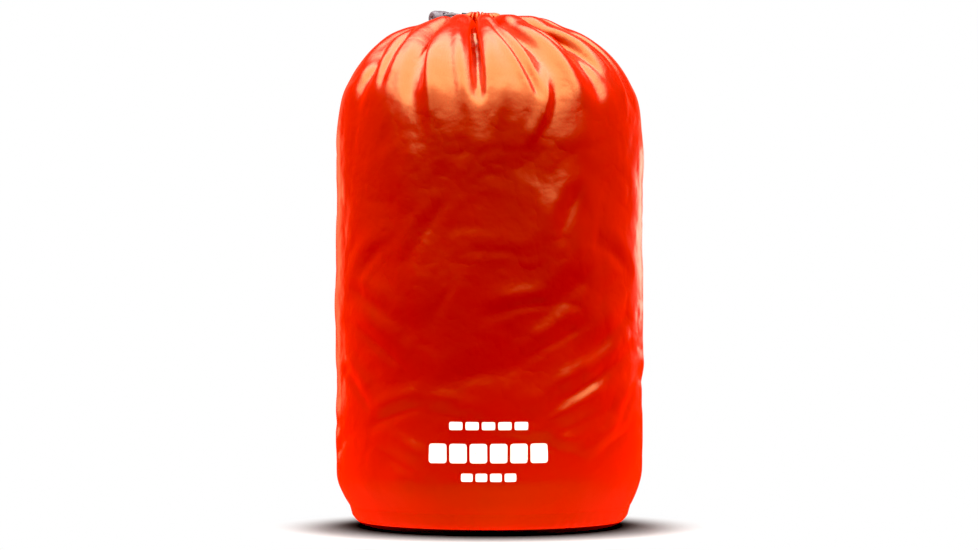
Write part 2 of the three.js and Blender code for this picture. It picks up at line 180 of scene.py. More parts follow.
def spread(*fields):
    """Fields of unlike shapes as one grid of points or of uv pairs."""
    return np.stack(np.broadcast_arrays(*fields), axis=-1)


def ring(radius, turn, z, axis=(0, 0)):
    """Points around a vertical axis."""
    return spread(axis[0] + radius * np.cos(turn), axis[1] + radius * np.sin(turn), z)


def full_turn(count):
    """Evenly spaced angles around, in radians."""
    return 2 * math.pi * np.arange(count) / count


def grid_faces(rows, columns, closed=True, first=0):
    """Quads of a grid of points; closed joins the last column to the first."""
    wide = columns if closed else columns - 1
    faces = []
    for j in range(rows - 1):
        for i in range(wide):
            k = (i + 1) % columns
            low, high = first + j * columns, first + (j + 1) * columns
            faces.append((low + i, low + k, high + k, high + i))
    return faces


def end_caps(rings, sides, first=0):
    """The two faces that close a tube of rings."""
    last = first + (rings - 1) * sides
    return [tuple(first + k for k in reversed(range(sides))), tuple(last + k for k in range(sides))]


def add_mesh(name, points, faces, material, uv=None, smooth=True):
    """A mesh object; uv is one (u, v) per point."""
    mesh = bpy.data.meshes.new(name)
    mesh.from_pydata(np.asarray(points, float).reshape(-1, 3).tolist(), [], faces)
    mesh.polygons.foreach_set("use_smooth", [smooth] * len(mesh.polygons))
    if uv is not None:
        layer = mesh.uv_layers.new(name="cloth")
        index = np.zeros(len(mesh.loops), np.int32)
        mesh.loops.foreach_get("vertex_index", index)
        layer.data.foreach_set("uv", np.asarray(uv, np.float32).reshape(-1, 2)[index].ravel())
    mesh.materials.append(material)
    mesh.update()
    piece = bpy.data.objects.new(name, mesh)
    bpy.context.scene.collection.objects.link(piece)
    return piece


def unwrap_seam(piece, period):
    """Where a quad spans the joint of a closed strip, moves its small u values up by one turn.

    The mesh's quads have to come before its other faces.
    """
    layer = piece.data.uv_layers[0]
    flat = np.zeros(len(piece.data.loops) * 2, np.float32)
    layer.data.foreach_get("uv", flat)
    count = sum(len(face.vertices) == 4 for face in piece.data.polygons)
    quads = flat[:count * 8].reshape(-1, 4, 2)
    spans = np.ptp(quads[:, :, 0], axis=1) > period / 2
    u = quads[spans, :, 0]
    quads[spans, :, 0] = np.where(u < period / 2, u + period, u)
    layer.data.foreach_set("uv", flat)


def stand_in(piece, node, body=None):
    """Puts a piece in a CAD node's place: hides the node and, if a body is given, puts the piece on that
    body.
    """
    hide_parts(node)
    if body:
        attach(piece, body)
    return piece


# ---- the cord's way

BEND = joint_point("ends_lift")
ARC_CENTRE = joint_point("lock_slide")
ACROSS = unit(JOINTS["cord_lift"]["axis"])
ARC_RADIUS = math.dist(BEND, ARC_CENTRE)
ARC_END = math.atan2(np.dot(BEND - ARC_CENTRE, OUT), (BEND - ARC_CENTRE)[2])
SPLIT_ANGLE = math.radians(38)  # where the shoulder run ends and the hanging run begins
LOCK_ANGLE = math.radians(10)
LOCK_RADIUS = 6.4 * MM
CORD_RADIUS = 1.3 * MM
CORD_HALF_SPACING = 1.6 * MM
CORD_START = 9 * MM  # how far inside the exit the two strands part from the ring in the channel
RING_RADIUS = 9.4 * MM  # of the cord inside the channel
KNOT = box_centre("cord_knot")
HANG_REACH = math.hypot(KNOT[0], KNOT[1]) - 3.0 * MM
# From the exit to the arc: mm out of the exit and mm above it
RISE_TO_SHOULDER = ((0, 0), (8, 1.9), (15, 3.2))
# Down the back: mm short of the hanging cord's reach, and mm above the ground
WAY_DOWN = ((4.5, 344), (1.4, 325), (0, 300), (0.2, 262), (0, 234), (0, KNOT[2] / MM + 2))


def spline(points, count):
    """A smooth line through points, evenly spaced (Catmull-Rom)."""
    points = np.asarray(points, float)
    padded = np.vstack([2 * points[0] - points[1], points, 2 * points[-1] - points[-2]])
    dense = []
    for k in range(len(points) - 1):
        p0, p1, p2, p3 = padded[k:k + 4]
        for t in np.linspace(0, 1, 24, endpoint=False):
            dense.append(0.5 * (2 * p1 + (p2 - p0) * t + (2 * p0 - 5 * p1 + 4 * p2 - p3) * t**2
                                + (3 * p1 - p0 - 3 * p2 + p3) * t**3))
    dense = np.vstack([dense, points[-1:]])
    walked = travelled(dense)
    at = np.linspace(0, walked[-1], count)
    return np.stack([np.interp(at, walked, dense[:, k]) for k in range(3)], axis=-1)


def on_arc(angle, lift=0.0):
    """A point of the arc in which the cord crosses the shoulder, by its angle past the top in radians."""
    return ARC_CENTRE + (ARC_RADIUS + lift) * (OUT * math.sin(angle) + UP * math.cos(angle))


def hanging_centre():
    """The line midway between the two strands, from halfway down the shoulder to the knot."""
    centre = [on_arc(angle) for angle in np.linspace(SPLIT_ANGLE, ARC_END + math.radians(3), 7)]
    for short, z in WAY_DOWN:
        centre.append(OUT * (HANG_REACH - short * MM) + UP * z * MM)
    return spline(centre, 320)


# ---- materials

class Nodes:
    """A short way to wire a material's nodes."""

    def __init__(self, name):
        self.material = bpy.data.materials.new(name)
        self.material.use_nodes = True
        self.tree = self.material.node_tree
        self.surface = self.tree.nodes["Principled BSDF"]

    def add(self, kind, inputs=None, **settings):
        node = self.tree.nodes.new("ShaderNode" + kind)
        for key, value in settings.items():
            setattr(node, key, value)
        for key, value in (inputs or {}).items():
            self.plug(node.inputs[key], value)
        return node

    def plug(self, socket, value):
        if isinstance(value, bpy.types.NodeSocket):
            self.tree.links.new(value, socket)
        else:
            socket.default_value = value

    def math(self, operation, a, b=0.0):
        return self.add("Math", {0: a, 1: b}, operation=operation).outputs[0]

    def times(self, a, b):
        return self.math("MULTIPLY", a, b)

    def wave(self, value, pitch):
        """A sine of a length, which repeats every pitch metres."""
        return self.math("SINE", self.times(value, 2 * math.pi / pitch))

    def place(self):
        return self.add("TexCoord").outputs["Object"]

    def cloth_uv(self):
        """The cloth's own UV, in metres."""
        return self.add("SeparateXYZ", {0: self.add("UVMap", uv_map="cloth").outputs[0]}).outputs[:2]

    def noise(self, scale, detail=3.0, vector=None):
        inputs = {"Scale": scale, "Detail": detail}
        if vector is not None:
            inputs["Vector"] = vector
        return self.add("TexNoise", inputs).outputs["Fac"]

    def ramp(self, factor, low, high, a, b):
        """Maps factor from low..high to colours a..b."""
        node = self.add("ValToRGB", {"Fac": factor})
        node.color_ramp.elements[0].position = low
        node.color_ramp.elements[1].position = high
        node.color_ramp.elements[0].color = (*a, 1)
        node.color_ramp.elements[1].color = (*b, 1)
        return node.outputs["Color"]

    def span(self, factor, low, high):
        """Maps factor from 0..1 to low..high."""
        return self.add("MapRange", {"Value": factor, "To Min": low, "To Max": high}).outputs[0]

    def bump(self, height, distance, strength=1.0, below=None):
        inputs = {"Height": height, "Distance": distance, "Strength": strength}
        if below is not None:
            inputs["Normal"] = below
        return self.add("Bump", inputs).outputs["Normal"]

    def finish(self, **inputs):
        for key, value in inputs.items():
            self.plug(self.surface.inputs[key.replace("_", " ")], value)
        return self.material


def weave_height(nodes, pitch):
    """Height of a plain weave."""
    return nodes.times(*(nodes.wave(value, pitch) for value in nodes.cloth_uv()))


def ripstop_height(nodes, spacing, width):
    """Thin raised lines every spacing metres, both ways."""
    lines = []
    for value in nodes.cloth_uv():
        phase = nodes.math("PINGPONG", value, spacing / 2)
        lines.append(nodes.math("LESS_THAN", phase, width / 2))
    return nodes.math("MAXIMUM", *lines)


def ridges(nodes, scale, vector):
    """Thin meandering creases."""
    offset = nodes.math("SUBTRACT", nodes.noise(scale, 2.5, vector), 0.5)
    return nodes.math("SMOOTH_MIN", nodes.math("ABSOLUTE", offset), 0.09)


WEAVE = 0.55 * MM
RED_SHEEN = {"Sheen_Weight": 0.8, "Sheen_Roughness": 0.5, "Sheen_Tint": (1.0, 0.03, 0.005, 1)}


def nylon():
    """Light coated nylon: saturated red with an orange sheen, a fine weave and faint ripstop lines."""
    n = Nodes("coated_nylon")
    place = n.place()
    tone = n.ramp(n.noise(9, 4, place), 0.3, 0.7, (0.225, 0.0022, 0.0003), (0.275, 0.0034, 0.0004))
    crumple = n.noise(75, 5, place)
    crinkle = n.math("ADD", ridges(n, 16, place), n.times(ridges(n, 38, place), 0.5))
    fine = n.bump(weave_height(n, WEAVE), 0.02 * MM, 0.04)
    lines = n.bump(ripstop_height(n, 5.2 * MM, 0.8 * MM), 0.02 * MM, 0.05, fine)
    soft = n.bump(crumple, 2.0 * MM, 0.25, lines)
    normal = n.bump(crinkle, 9 * MM, 0.35, soft)
    return n.finish(
        Base_Color=tone,
        Roughness=n.span(n.noise(30, 3, place), 0.22, 0.28),
        IOR=1.9,
        Specular_Tint=(1.0, 0.55, 0.17, 1),
        Normal=normal,
        **RED_SHEEN,
    )


def seam_nylon():
    """The same cloth, doubled: a little darker and matter."""
    n = Nodes("seam_nylon")
    place = n.place()
    tone = n.ramp(n.noise(40, 4, place), 0.3, 0.7, (0.19, 0.0020, 0.0003), (0.24, 0.0030, 0.0004))
    fine = n.bump(weave_height(n, WEAVE), 0.06 * MM, 0.4)
    return n.finish(
        Base_Color=tone,
        Roughness=0.28,
        IOR=1.8,
        Specular_Tint=(1.0, 0.50, 0.20, 1),
        Normal=n.bump(n.noise(240, 3, place), 0.4 * MM, 0.25, fine),
        **RED_SHEEN,
    )


def thread(name, color):
    """Twisted sewing thread."""
    n = Nodes(name)
    twist = n.add("TexWave", {"Scale": 900.0, "Distortion": 2.0, "Vector": n.place()}).outputs["Fac"]
    tone = n.ramp(twist, 0.2, 0.8, tuple(c * 0.6 for c in color), color)
    return n.finish(Base_Color=tone, Roughness=0.55, Normal=n.bump(twist, 0.05 * MM, 0.5))


PLAIT = 2.6 * MM  # length of one diamond of the cord's sheath


def braid():
    """A braided cord sheath, with lighter flecks along its strands."""
    n = Nodes("cord_sheath")
    u, v = n.cloth_uv()
    around = n.times(u, 8.0)
    along = n.times(v, 1 / PLAIT)
    one = n.math("PINGPONG", n.math("ADD", along, around), 0.5)
    two = n.math("PINGPONG", n.math("SUBTRACT", along, around), 0.5)
    plait = n.math("MAXIMUM", one, two)
    fleck = n.times(plait, n.math("ADD", n.noise(900, 2, n.place()), 0.75))
    tone = n.ramp(fleck, 0.15, 0.62, (0.020, 0.018, 0.022), (0.145, 0.130, 0.150))
    return n.finish(Base_Color=tone, Roughness=0.6, Sheen_Weight=0.25, Normal=n.bump(plait, 0.25 * MM, 0.7))


def melted_tip():
    """Cord melted to a hard, glossy end."""
    n = Nodes("melted_cord")
    place = n.place()
    tone = n.ramp(n.noise(600, 3, place), 0.3, 0.7, (0.012, 0.011, 0.013), (0.05, 0.045, 0.05))
    return n.finish(Base_Color=tone, Roughness=0.25, Normal=n.bump(n.noise(500, 2, place), 0.2 * MM, 0.5))


def moulded_plastic():
    """Satin grey plastic with a faint moulded grain and rubbed edges."""
    n = Nodes("moulded_plastic")
    place = n.place()
    grain = n.noise(1800, 2, place)
    edge = n.add("NewGeometry").outputs["Pointiness"]
    rubbed = n.math("ADD", edge, n.times(n.noise(300, 3, place), 0.06))
    tone = n.ramp(rubbed, 0.50, 0.62, (0.040, 0.027, 0.034), (0.110, 0.080, 0.095))
    return n.finish(Base_Color=tone, Roughness=n.span(n.noise(200, 3, place), 0.32, 0.48),
                    Normal=n.bump(grain, 0.04 * MM, 0.4))


def spring_wire():
    n = Nodes("spring_wire")
    draw = n.noise(1500, 2, n.place())
    return n.finish(Base_Color=(0.55, 0.56, 0.58, 1), Metallic=1.0, Roughness=n.span(draw, 0.2, 0.4))


def webbing(name, dark, light):
    """Ribbed narrow webbing: ribs along the strap and a fine herringbone across it."""
    n = Nodes(name)
    u, v = n.cloth_uv()
    rib = n.wave(u, 1.5 * MM)
    slant = n.math("ADD", n.times(v, 2 * math.pi / (0.9 * MM)), n.times(rib, 1.2))
    pick = n.math("SINE", slant)
    height = n.math("ADD", rib, n.times(pick, 0.5))
    tone = n.ramp(n.times(n.math("ADD", height, 1.5), 0.33), 0.1, 0.9, dark, light)
    return n.finish(Base_Color=tone, Roughness=0.75, Sheen_Weight=0.2, Normal=n.bump(height, 0.12 * MM, 0.6))


def plain_tape(name, dark, light):
    """A woven tape seen on a CAD node, which has no UV of its own."""
    n = Nodes(name)
    bands = n.add("TexWave", {"Scale": 320.0, "Distortion": 0.4, "Vector": n.place()}, bands_direction="Z")
    weave = bands.outputs["Fac"]
    tone = n.ramp(weave, 0.2, 0.8, dark, light)
    return n.finish(Base_Color=tone, Roughness=0.8, Normal=n.bump(weave, 0.15 * MM, 0.5))


def satin_label():
    n = Nodes("satin_label")
    height = weave_height(n, 0.4 * MM)
    tone = n.ramp(n.noise(60, 3, n.place()), 0.3, 0.7, (0.72, 0.71, 0.68), (0.84, 0.83, 0.80))
    return n.finish(Base_Color=tone, Roughness=0.35, Sheen_Weight=0.3, Normal=n.bump(height, 0.05 * MM, 0.4))


def print_ink():
    """White screen-print ink, slightly worn where the cloth shows through."""
    n = Nodes("print_ink")
    place = n.place()
    wear = n.times(n.noise(420, 4, place), n.noise(60, 2, place))
    tone = n.ramp(wear, 0.10, 0.16, (0.80, 0.42, 0.36), (0.90, 0.88, 0.86))
    return n.finish(Base_Color=tone, Roughness=0.5, Normal=n.bump(weave_height(n, WEAVE), 0.04 * MM, 0.4))


NYLON = nylon()
SEAM_NYLON = seam_nylon()
RED_THREAD = thread("red_thread", (0.62, 0.03, 0.01))
GREY_THREAD = thread("grey_thread", (0.16, 0.15, 0.17))
BRAID = braid()
MELTED = melted_tip()
PLASTIC = moulded_plastic()
WIRE = spring_wire()
WEBBING = webbing("loop_webbing", (0.018, 0.017, 0.020), (0.085, 0.080, 0.090))
PATCH_TAPE = plain_tape("patch_tape", (0.02, 0.019, 0.022), (0.08, 0.075, 0.085))
BINDING_TAPE = plain_tape("binding_tape", (0.10, 0.006, 0.004), (0.32, 0.02, 0.01))
LABEL = satin_label()
INK = print_ink()


# ---- cloth

def outline():
    """[radius, height] along the cloth, from the base seam up and over to the hem, closely spaced."""
    power = 2 / ROUNDNESS
    low = np.linspace(SEAM_ANGLE, 0, 40)
    bottom = np.c_[
        FLAT_RADIUS + (RADIUS - FLAT_RADIUS) * np.cos(low) ** power,
        BASE_RISE * (1 - np.sin(low) ** power),
    ]
    side = np.c_[np.full(60, RADIUS), np.linspace(BASE_RISE, SIDE_TOP, 60)]
    high = np.linspace(0, math.acos((HEM_RADIUS / RADIUS) ** (ROUNDNESS / 2)), 160)
    crown = np.c_[RADIUS * np.cos(high) ** power, SIDE_TOP + CROWN_RISE * np.sin(high) ** power]
    crown[:, 1] -= DIP * (1 - smoothstep(crown[:, 0], DIP_INNER, DIP_OUTER)) * (crown[:, 1] > SIDE_TOP)
    return np.vstack([bottom, side[1:], crown[1:]])


def evenly(line, count):
    """The line again as count evenly spaced points, with the length at each."""
    length = travelled(line)
    at = np.linspace(0, length[-1], count)
    return np.c_[np.interp(at, length, line[:, 0]), np.interp(at, length, line[:, 1])], at


def outward(line):
    """Unit normals of the outline, pointing out."""
    along = np.gradient(line, axis=0)
    return unit(np.c_[along[:, 1], -along[:, 0]])


def lean(radius):
    """How much of the mouth's offset from the axis a ring of the crown takes."""
    return 1 - np.clip((radius - DIP_INNER) / (RADIUS - DIP_INNER), 0, 1)


def crease_pattern(azimuths, down):
    """For each column: 1 in a crease and 0 between creases, which crease is nearest, and the billow's width.

    down is 0 at the mouth and 1 at the shoulder.
    """
    at_mouth, at_shoulder, _, _ = np.array(CREASES).T
    starts = at_mouth + (at_shoulder - at_mouth) * down + FRONT
    edges = np.r_[starts, starts[0] + 360]
    phase = np.interp((azimuths - edges[0]) % 360 + edges[0], edges, np.arange(len(edges)))
    count = len(CREASES)
    valley = np.abs(2 * (phase % 1) - 1) ** CREASE_SHARPNESS
    crease = np.round(phase).astype(int) % count
    width = np.diff(edges)[phase.astype(int) % count] * count / 360
    return valley, crease, width


def pleated_tube():
    """The cloth before it is filled (where it is) and as it was cut (its true size), as grids of points."""
    line, length = evenly(outline(), ROWS)
    normal = outward(line)
    azimuths = 360 * np.arange(COLUMNS) / COLUMNS
    turn = np.radians(azimuths)
    count = len(CREASES)
    _, _, depth_share, reach = np.array(CREASES).T
    place = np.zeros((ROWS, COLUMNS, 3))
    cut = np.zeros((ROWS, COLUMNS, 3))
    for j, (radius, z) in enumerate(line):
        in_crown = z > SIDE_TOP
        gather = min(RADIUS / radius, GATHER_LIMIT) if in_crown else 1.0
        valley, crease, width = crease_pattern(azimuths, smoothstep(radius, DIP_INNER, RADIUS))
        half = math.pi * radius / count
        depth = min(half * math.sqrt(gather**2 - 1) * CREASE_SHARE, CREASE_DEPTH)
        fade = smoothstep((z - SIDE_TOP) / MM - reach[crease], 0, CREASE_FADE)
        ripple = -depth * valley * depth_share[crease] * (CREASE_END + (1 - CREASE_END) * fade)
        ripple += BILLOW * depth * (1 - valley) * width
        axis = MOUTH[:2] * lean(radius) * in_crown
        place[j] = ring(radius + ripple * normal[j, 0], turn, z + ripple * normal[j, 1], axis)
        widest = min(RADIUS, GATHER_LIMIT * radius) if in_crown else min(radius + 1 * MM, RADIUS)
        cut[j] = ring(EASE * widest, turn, EASE * length[j])
    return place, cut, length


FABRIC = {  # light, hard to stretch and easy to fold
    "quality": 4,
    "mass": 0.02,
    "tension_stiffness": 40,
    "compression_stiffness": 40,
    "shear_stiffness": 13,
    "bending_stiffness": 0.01,
    "tension_damping": 8,
    "compression_damping": 8,
    "shear_damping": 8,
    "bending_damping": 0.5,
    "air_damping": 2,
    "use_pressure": True,
    "uniform_pressure_force": 900,
}


def fill_cloth(place, cut):
    """Cloth simulation: pressure fills the pleated tube, whose base seam and hem are held."""
    faces = grid_faces(ROWS, COLUMNS)
    tube = add_mesh("cloth_before", place, faces, NYLON)
    tube.shape_key_add(name="place")
    true_size = tube.shape_key_add(name="cut")
    true_size.data.foreach_set("co", cut.reshape(-1).astype(np.float32))
    held = tube.vertex_groups.new(name="held")
    last_row = COLUMNS * (ROWS - 1)
    held.add([*range(COLUMNS), *range(last_row, last_row + COLUMNS)], 1.0, "REPLACE")
    cloth = tube.modifiers.new("Cloth", "CLOTH")
    for key, value in FABRIC.items():
        setattr(cloth.settings, key, value)
    cloth.settings.effector_weights.gravity = 0
    cloth.settings.vertex_group_mass = held.name
    cloth.settings.rest_shape_key = true_size
    cloth.collision_settings.use_collision = False
    cloth.point_cache.frame_start = 1
    cloth.point_cache.frame_end = SIM_FRAMES
    scene = bpy.context.scene
    for step in range(1, SIM_FRAMES + 1):
        scene.frame_set(step)
    graph = bpy.context.evaluated_depsgraph_get()
    filled = tube.evaluated_get(graph).to_mesh()
    flat = np.zeros(len(filled.vertices) * 3, np.float32)
    filled.vertices.foreach_get("co", flat)
    tube.evaluated_get(graph).to_mesh_clear()
    bpy.data.objects.remove(tube)
    scene.frame_set(1)
    return flat.reshape(ROWS, COLUMNS, 3).astype(float)


def halve_spacing(grid):
    """The grid with a smooth new row and column between every two; columns run round, rows end."""
    def between(before, a, b, after):
        return (9 * (a + b) - before - after) / 16

    wide = between(np.roll(grid, 1, 1), grid, np.roll(grid, -1, 1), np.roll(grid, -2, 1))
    columns = np.stack([grid, wide], axis=2).reshape(grid.shape[0], -1, 3)
    padded = np.concatenate([2 * columns[:1] - columns[1:2], columns, 2 * columns[-1:] - columns[-2:-1]])
    middle = between(padded[:-3], padded[1:-2], padded[2:-1], padded[3:])
    out = np.zeros((2 * grid.shape[0] - 1, columns.shape[1], 3))
    out[0::2] = columns
    out[1::2] = middle
    return out


def grid_normals(grid):
    """Unit normals of a closed grid, pointing out of the sack."""
    around = np.roll(grid, -1, 1) - np.roll(grid, 1, 1)
    up = np.gradient(grid, axis=0)
    return unit(np.cross(around, up))


class Cloth:
    """The finished cloth: a grid of points and normals that other pieces are laid on."""

    def __init__(self, grid, length):
        self.grid = grid
        self.rows, self.columns = grid.shape[:2]
        self.length = length
        self.normal = grid_normals(grid)
        self.heights = grid[:, :, 2].mean(axis=1)
        self.azimuths = 360 * np.arange(self.columns) / self.columns

    def at(self, azimuth, row, lift=0.0):
        """Points over the cloth at azimuths in degrees and fractional rows."""
        column = np.asarray(azimuth, float) / 360 * self.columns
        row = np.clip(np.asarray(row, float), 0, self.rows - 1.001)
        column, row = np.broadcast_arrays(column, row)
        i, j = np.floor(column).astype(int), np.floor(row).astype(int)
        a, b = (column - i)[..., None], (row - j)[..., None]
        i, k = i % self.columns, (i + 1) % self.columns

        def mix(field):
            low = field[j, i] * (1 - a) + field[j, k] * a
            high = field[j + 1, i] * (1 - a) + field[j + 1, k] * a
            return low * (1 - b) + high * b

        return mix(self.grid) + unit(mix(self.normal)) * np.asarray(lift)[..., None]

    def row_at(self, height):
        """The row of the side at a height."""
        side = self.rows * 3 // 5
        return np.interp(height, self.heights[:side], np.arange(side))


# Soft creases seen on the front. Each: degrees from the front, height in mm, slant in degrees, then half
# length, half width and depth in mm
FRONT_WRINKLES = (
    (40, 122, 26, 56, 7, 2.2),
    (33, 92, 20, 50, 8, 1.5),
    (18, 74, -13, 42, 5, 1.0),
    (52, 74, 24, 34, 6, 1.8),
    (48, 156, 34, 44, 8, 1.6),
    (26, 188, 38, 44, 9, 0.9),
    (-8, 128, 12, 40, 8, 0.5),
    (-46, 152, -28, 38, 7, 1.6),
    (-58, 116, -36, 34, 6, 1.6),
    (-34, 62, -24, 36, 7, 1.2),
    (5, 34, 4, 50, 6, 0.9),
    (-28, 226, 58, 30, 6, 0.6),
    (28, 250, 62, 28, 7, 1.0),
    (-52, 210, 40, 30, 7, 1.0),
    (56, 214, -30, 30, 7, 1.2),
    (-38, 96, 18, 34, 6, 1.2),
    (-50, 182, -22, 30, 6, 1.3),
    (22, 150, 28, 36, 6, 0.8),
    (-14, 96, -12, 30, 6, 0.7),
    (10, 176, 10, 26, 5, 0.7),
    (60, 100, 38, 30, 6, 1.6),
)


def scattered_wrinkles(count):
    """More of the same for the sides and the back, thicker towards the bottom."""
    picks = []
    for _ in range(count):
        azimuth = rng.uniform(66, 294)
        height = 35 + 230 * rng.random() ** 1.6
        slant = rng.choice((-1, 1)) * rng.uniform(8, 38)
        picks.append((azimuth, height, slant, rng.uniform(20, 50), rng.uniform(5, 9), rng.uniform(0.3, 0.9)))
    return picks


# Lesser folds seen in the front of the crown. Each: degrees from the front and mm of cloth from the mouth
# at three places along the fold, then half width and height in mm (a crease has a negative height)
FRONT_FOLDS = (
    ((-10, 22), (-5, 85), (-3.5, 138), 3.0, -5.0),
    ((-3, 40), (1, 90), (0, 136), 5.5, 2.0),
    ((-17, 50), (-11, 105), (-8, 160), 5, 2.2),
    ((-35, 52), (-31, 88), (-28, 124), 3.2, -3.6),
    ((-27, 60), (-24, 110), (-19, 178), 7, 2.2),
    ((-40, 60), (-36, 105), (-33, 150), 6, 2.0),
    ((3, 45), (14, 98), (20.5, 138), 3.2, -4.0),
    ((24, 95), (22.5, 135), (14, 174), 5, 2.4),
    ((20, 50), (30, 88), (37, 142), 6, 2.2),
    ((26, 48), (36, 80), (43, 110), 4, -2.2),
    ((38, 40), (47, 85), (53, 118), 3.5, -3.2),
    ((45, 55), (56, 92), (60, 130), 5, 1.6),
    ((8, 105), (6, 135), (3, 165), 6, 1.4),
    ((-52, 55), (-48, 92), (-46, 130), 4, -2.4),
    ((-58, 55), (-60, 90), (-66, 120), 6, 2.0),
    ((66, 70), (66, 105), (62, 148), 7, 1.6),
)


def scattered_folds(count):
    """More folds for the rest of the crown."""
    picks = []
    for _ in range(count):
        azimuth = rng.uniform(72, 304)
        start = rng.uniform(38, 90)
        length = rng.uniform(45, 95)
        drift = rng.uniform(-8, 8)
        side = rng.choice((-1, 1))
        places = [(azimuth + drift * t + rng.uniform(-2, 2), start + length * t) for t in (0, 0.5, 1)]
        picks.append((*places, rng.uniform(4, 7.5), side * rng.uniform(1.3, 2.4)))
    return picks


def fold_height(cloth):
    """How far each point of the crown moves out for its lesser folds."""
    from_mouth = (cloth.length * (1 - np.arange(cloth.rows) / (cloth.rows - 1)))[:, None] / MM
    azimuth = cloth.azimuths - FRONT
    steps = np.diff(cloth.grid, axis=1, append=cloth.grid[:, :1])
    girth = np.linalg.norm(steps, axis=2).sum(axis=1)[:, None]
    height = np.zeros((cloth.rows, cloth.columns))
    for start, middle, end, half_width, tall in (*FRONT_FOLDS, *scattered_folds(30)):
        at = np.array([start, middle, end])
        share = (from_mouth - at[0, 1]) / (at[2, 1] - at[0, 1])
        line = np.polyval(np.polyfit(at[:, 1], at[:, 0], 2), from_mouth)
        across = ((azimuth - line + 180) % 360 - 180) / 360 * girth / (half_width * MM)
        window = band(share, -0.1, 0.35, 0.55, 1.1)
        form = np.exp(-(across**2)) - 0.3 * np.exp(-((np.abs(across) - 2.0) ** 2))
        height += tall * MM * window * form
    return height


LUMP_SHIFT = Vector((7, 3, 1))  # so that the small lumps don't start with the large ones
CREASED_MOST = 0.45  # mm, how far the cloth stands out between its fine creases


def wrinkle_height(cloth):
    """How far each point of the side moves out for the wrinkles and for the lumps of the contents."""
    z = cloth.heights[:, None]
    azimuth = cloth.azimuths - FRONT
    height = np.zeros((cloth.rows, cloth.columns))
    for centre, level, slant, half_length, half_width, depth in (*FRONT_WRINKLES, *scattered_wrinkles(26)):
        x = np.radians((azimuth - centre + 180) % 360 - 180) * RADIUS
        y = z - level * MM
        s, c = math.sin(math.radians(slant)), math.cos(math.radians(slant))
        along = (x * c + y * s) / (half_length * MM)
        across = (y * c - x * s) / (half_width * MM) + 0.5 * along**2
        window = np.exp(-(along**2) * 1.6)
        form = np.exp(-((across - 1) ** 2)) - 0.9 * np.exp(-((across + 1) ** 2) * 2)
        height += depth * MM * window * form
    lumps, creases = [], []
    for point in map(Vector, cloth.grid.reshape(-1, 3)):
        lumps.append(noise.noise(point * 14) * 1.6 + noise.noise(point * 34 + LUMP_SHIFT) * 0.8)
        creases.append(abs(noise.noise(point * 24)) * 1.3 + abs(noise.noise(point * 52)) * 0.7)
    height += np.reshape(lumps, height.shape) * MM
    height += np.minimum(np.reshape(creases, height.shape), CREASED_MOST) * MM
    height *= band(z, 16 * MM, 42 * MM, SIDE_TOP, SIDE_TOP + 70 * MM)
    return height + fold_height(cloth)


CROWN_SAG = 4.2 * MM
LIP_PUFF = 2.5 * MM
CROWN_SQUEEZE = 0.008
BOTTOM_BULGE = 2.6 * MM


def settle(grid):
    """Shapes the cloth as a full sack's weight does: crown lower, lip of the mouth puffed, bottom fuller."""
    reach = np.linalg.norm(grid[..., :2], axis=-1)
    height = grid[..., 2]
    settled = grid.copy()
    sag = band(reach, 38 * MM, 60 * MM, 0.93 * RADIUS, RADIUS)
    from_mouth = np.linalg.norm(grid[..., :2] - MOUTH[:2], axis=-1)
    toward_cord = (grid[..., :2] - MOUTH[:2]) @ OUT[:2] / np.maximum(from_mouth, MM)
    puff = band(from_mouth, 14 * MM, 25 * MM, 32 * MM, 52 * MM) * (1 - smoothstep(toward_cord, 0.3, 0.8))
    settled[..., 2] += (LIP_PUFF * puff - CROWN_SAG * sag) * (height > SIDE_TOP)
    squeeze = 1 - CROWN_SQUEEZE * smoothstep(height, SIDE_TOP, SIDE_TOP + 40 * MM)
    squeeze += BOTTOM_BULGE / RADIUS * band(height, 0, 12 * MM, 30 * MM, 60 * MM)
    settled[..., :2] *= squeeze[..., None]
    return settled


def iron(grid):
    """Takes out folds finer than the cloth's own spacing."""
    for _ in range(2):
        grid = grid / 2 + (np.roll(grid, 1, 1) + np.roll(grid, -1, 1)) / 4
    inner = grid[1:-1] / 2 + (grid[2:] + grid[:-2]) / 4
    return np.concatenate([grid[:1], inner, grid[-1:]])


UNDER_LOCK = 0.6 * MM  # room left between the lock and the cloth
UNDER_CORD = 0.5 * MM  # and between the hanging cord and the cloth
RAISED_MOST = 9 * MM  # how far the cloth may be raised to meet the lock's arc


def fit_under_cord(grid):
    """Brings the cloth to just under the arc that the lock slides along, and in behind the hanging cord."""
    arc = math.dist(box_centre("cord_lock_barrel"), ARC_CENTRE)
    room = arc - LOCK_RADIUS - UNDER_LOCK
    offset = grid - ARC_CENTRE
    across = unit(JOINTS["lock_slide"]["axis"])
    side = offset @ across
    radial = offset - side[..., None] * across
    reach = np.linalg.norm(radial, axis=-1)
    ahead = radial @ OUT
    over_arc = smoothstep(ahead, -16 * MM, -4 * MM) * smoothstep(radial[..., 2], 6 * MM, 26 * MM)
    pressed = np.maximum(reach - room, 0) * (1 - smoothstep(np.abs(side), 11 * MM, 28 * MM))
    raised = np.clip(room - reach, 0, RAISED_MOST) * (1 - smoothstep(np.abs(side), 6 * MM, 34 * MM))
    fitted = grid + unit(radial) * ((raised - pressed) * over_arc)[..., None]
    line = hanging_centre()[::-1]
    inside = np.interp(fitted[..., 2], line[:, 2], line @ OUT) - CORD_RADIUS - UNDER_CORD
    over = np.maximum(fitted @ OUT - inside, 0) * (1 - smoothstep(np.abs(side), 5 * MM, 18 * MM))
    over *= (fitted[..., 2] < line[-1, 2]) * smoothstep(fitted[..., 2], KNOT[2] - 40 * MM, KNOT[2] - 10 * MM)
    return fitted - over[..., None] * OUT


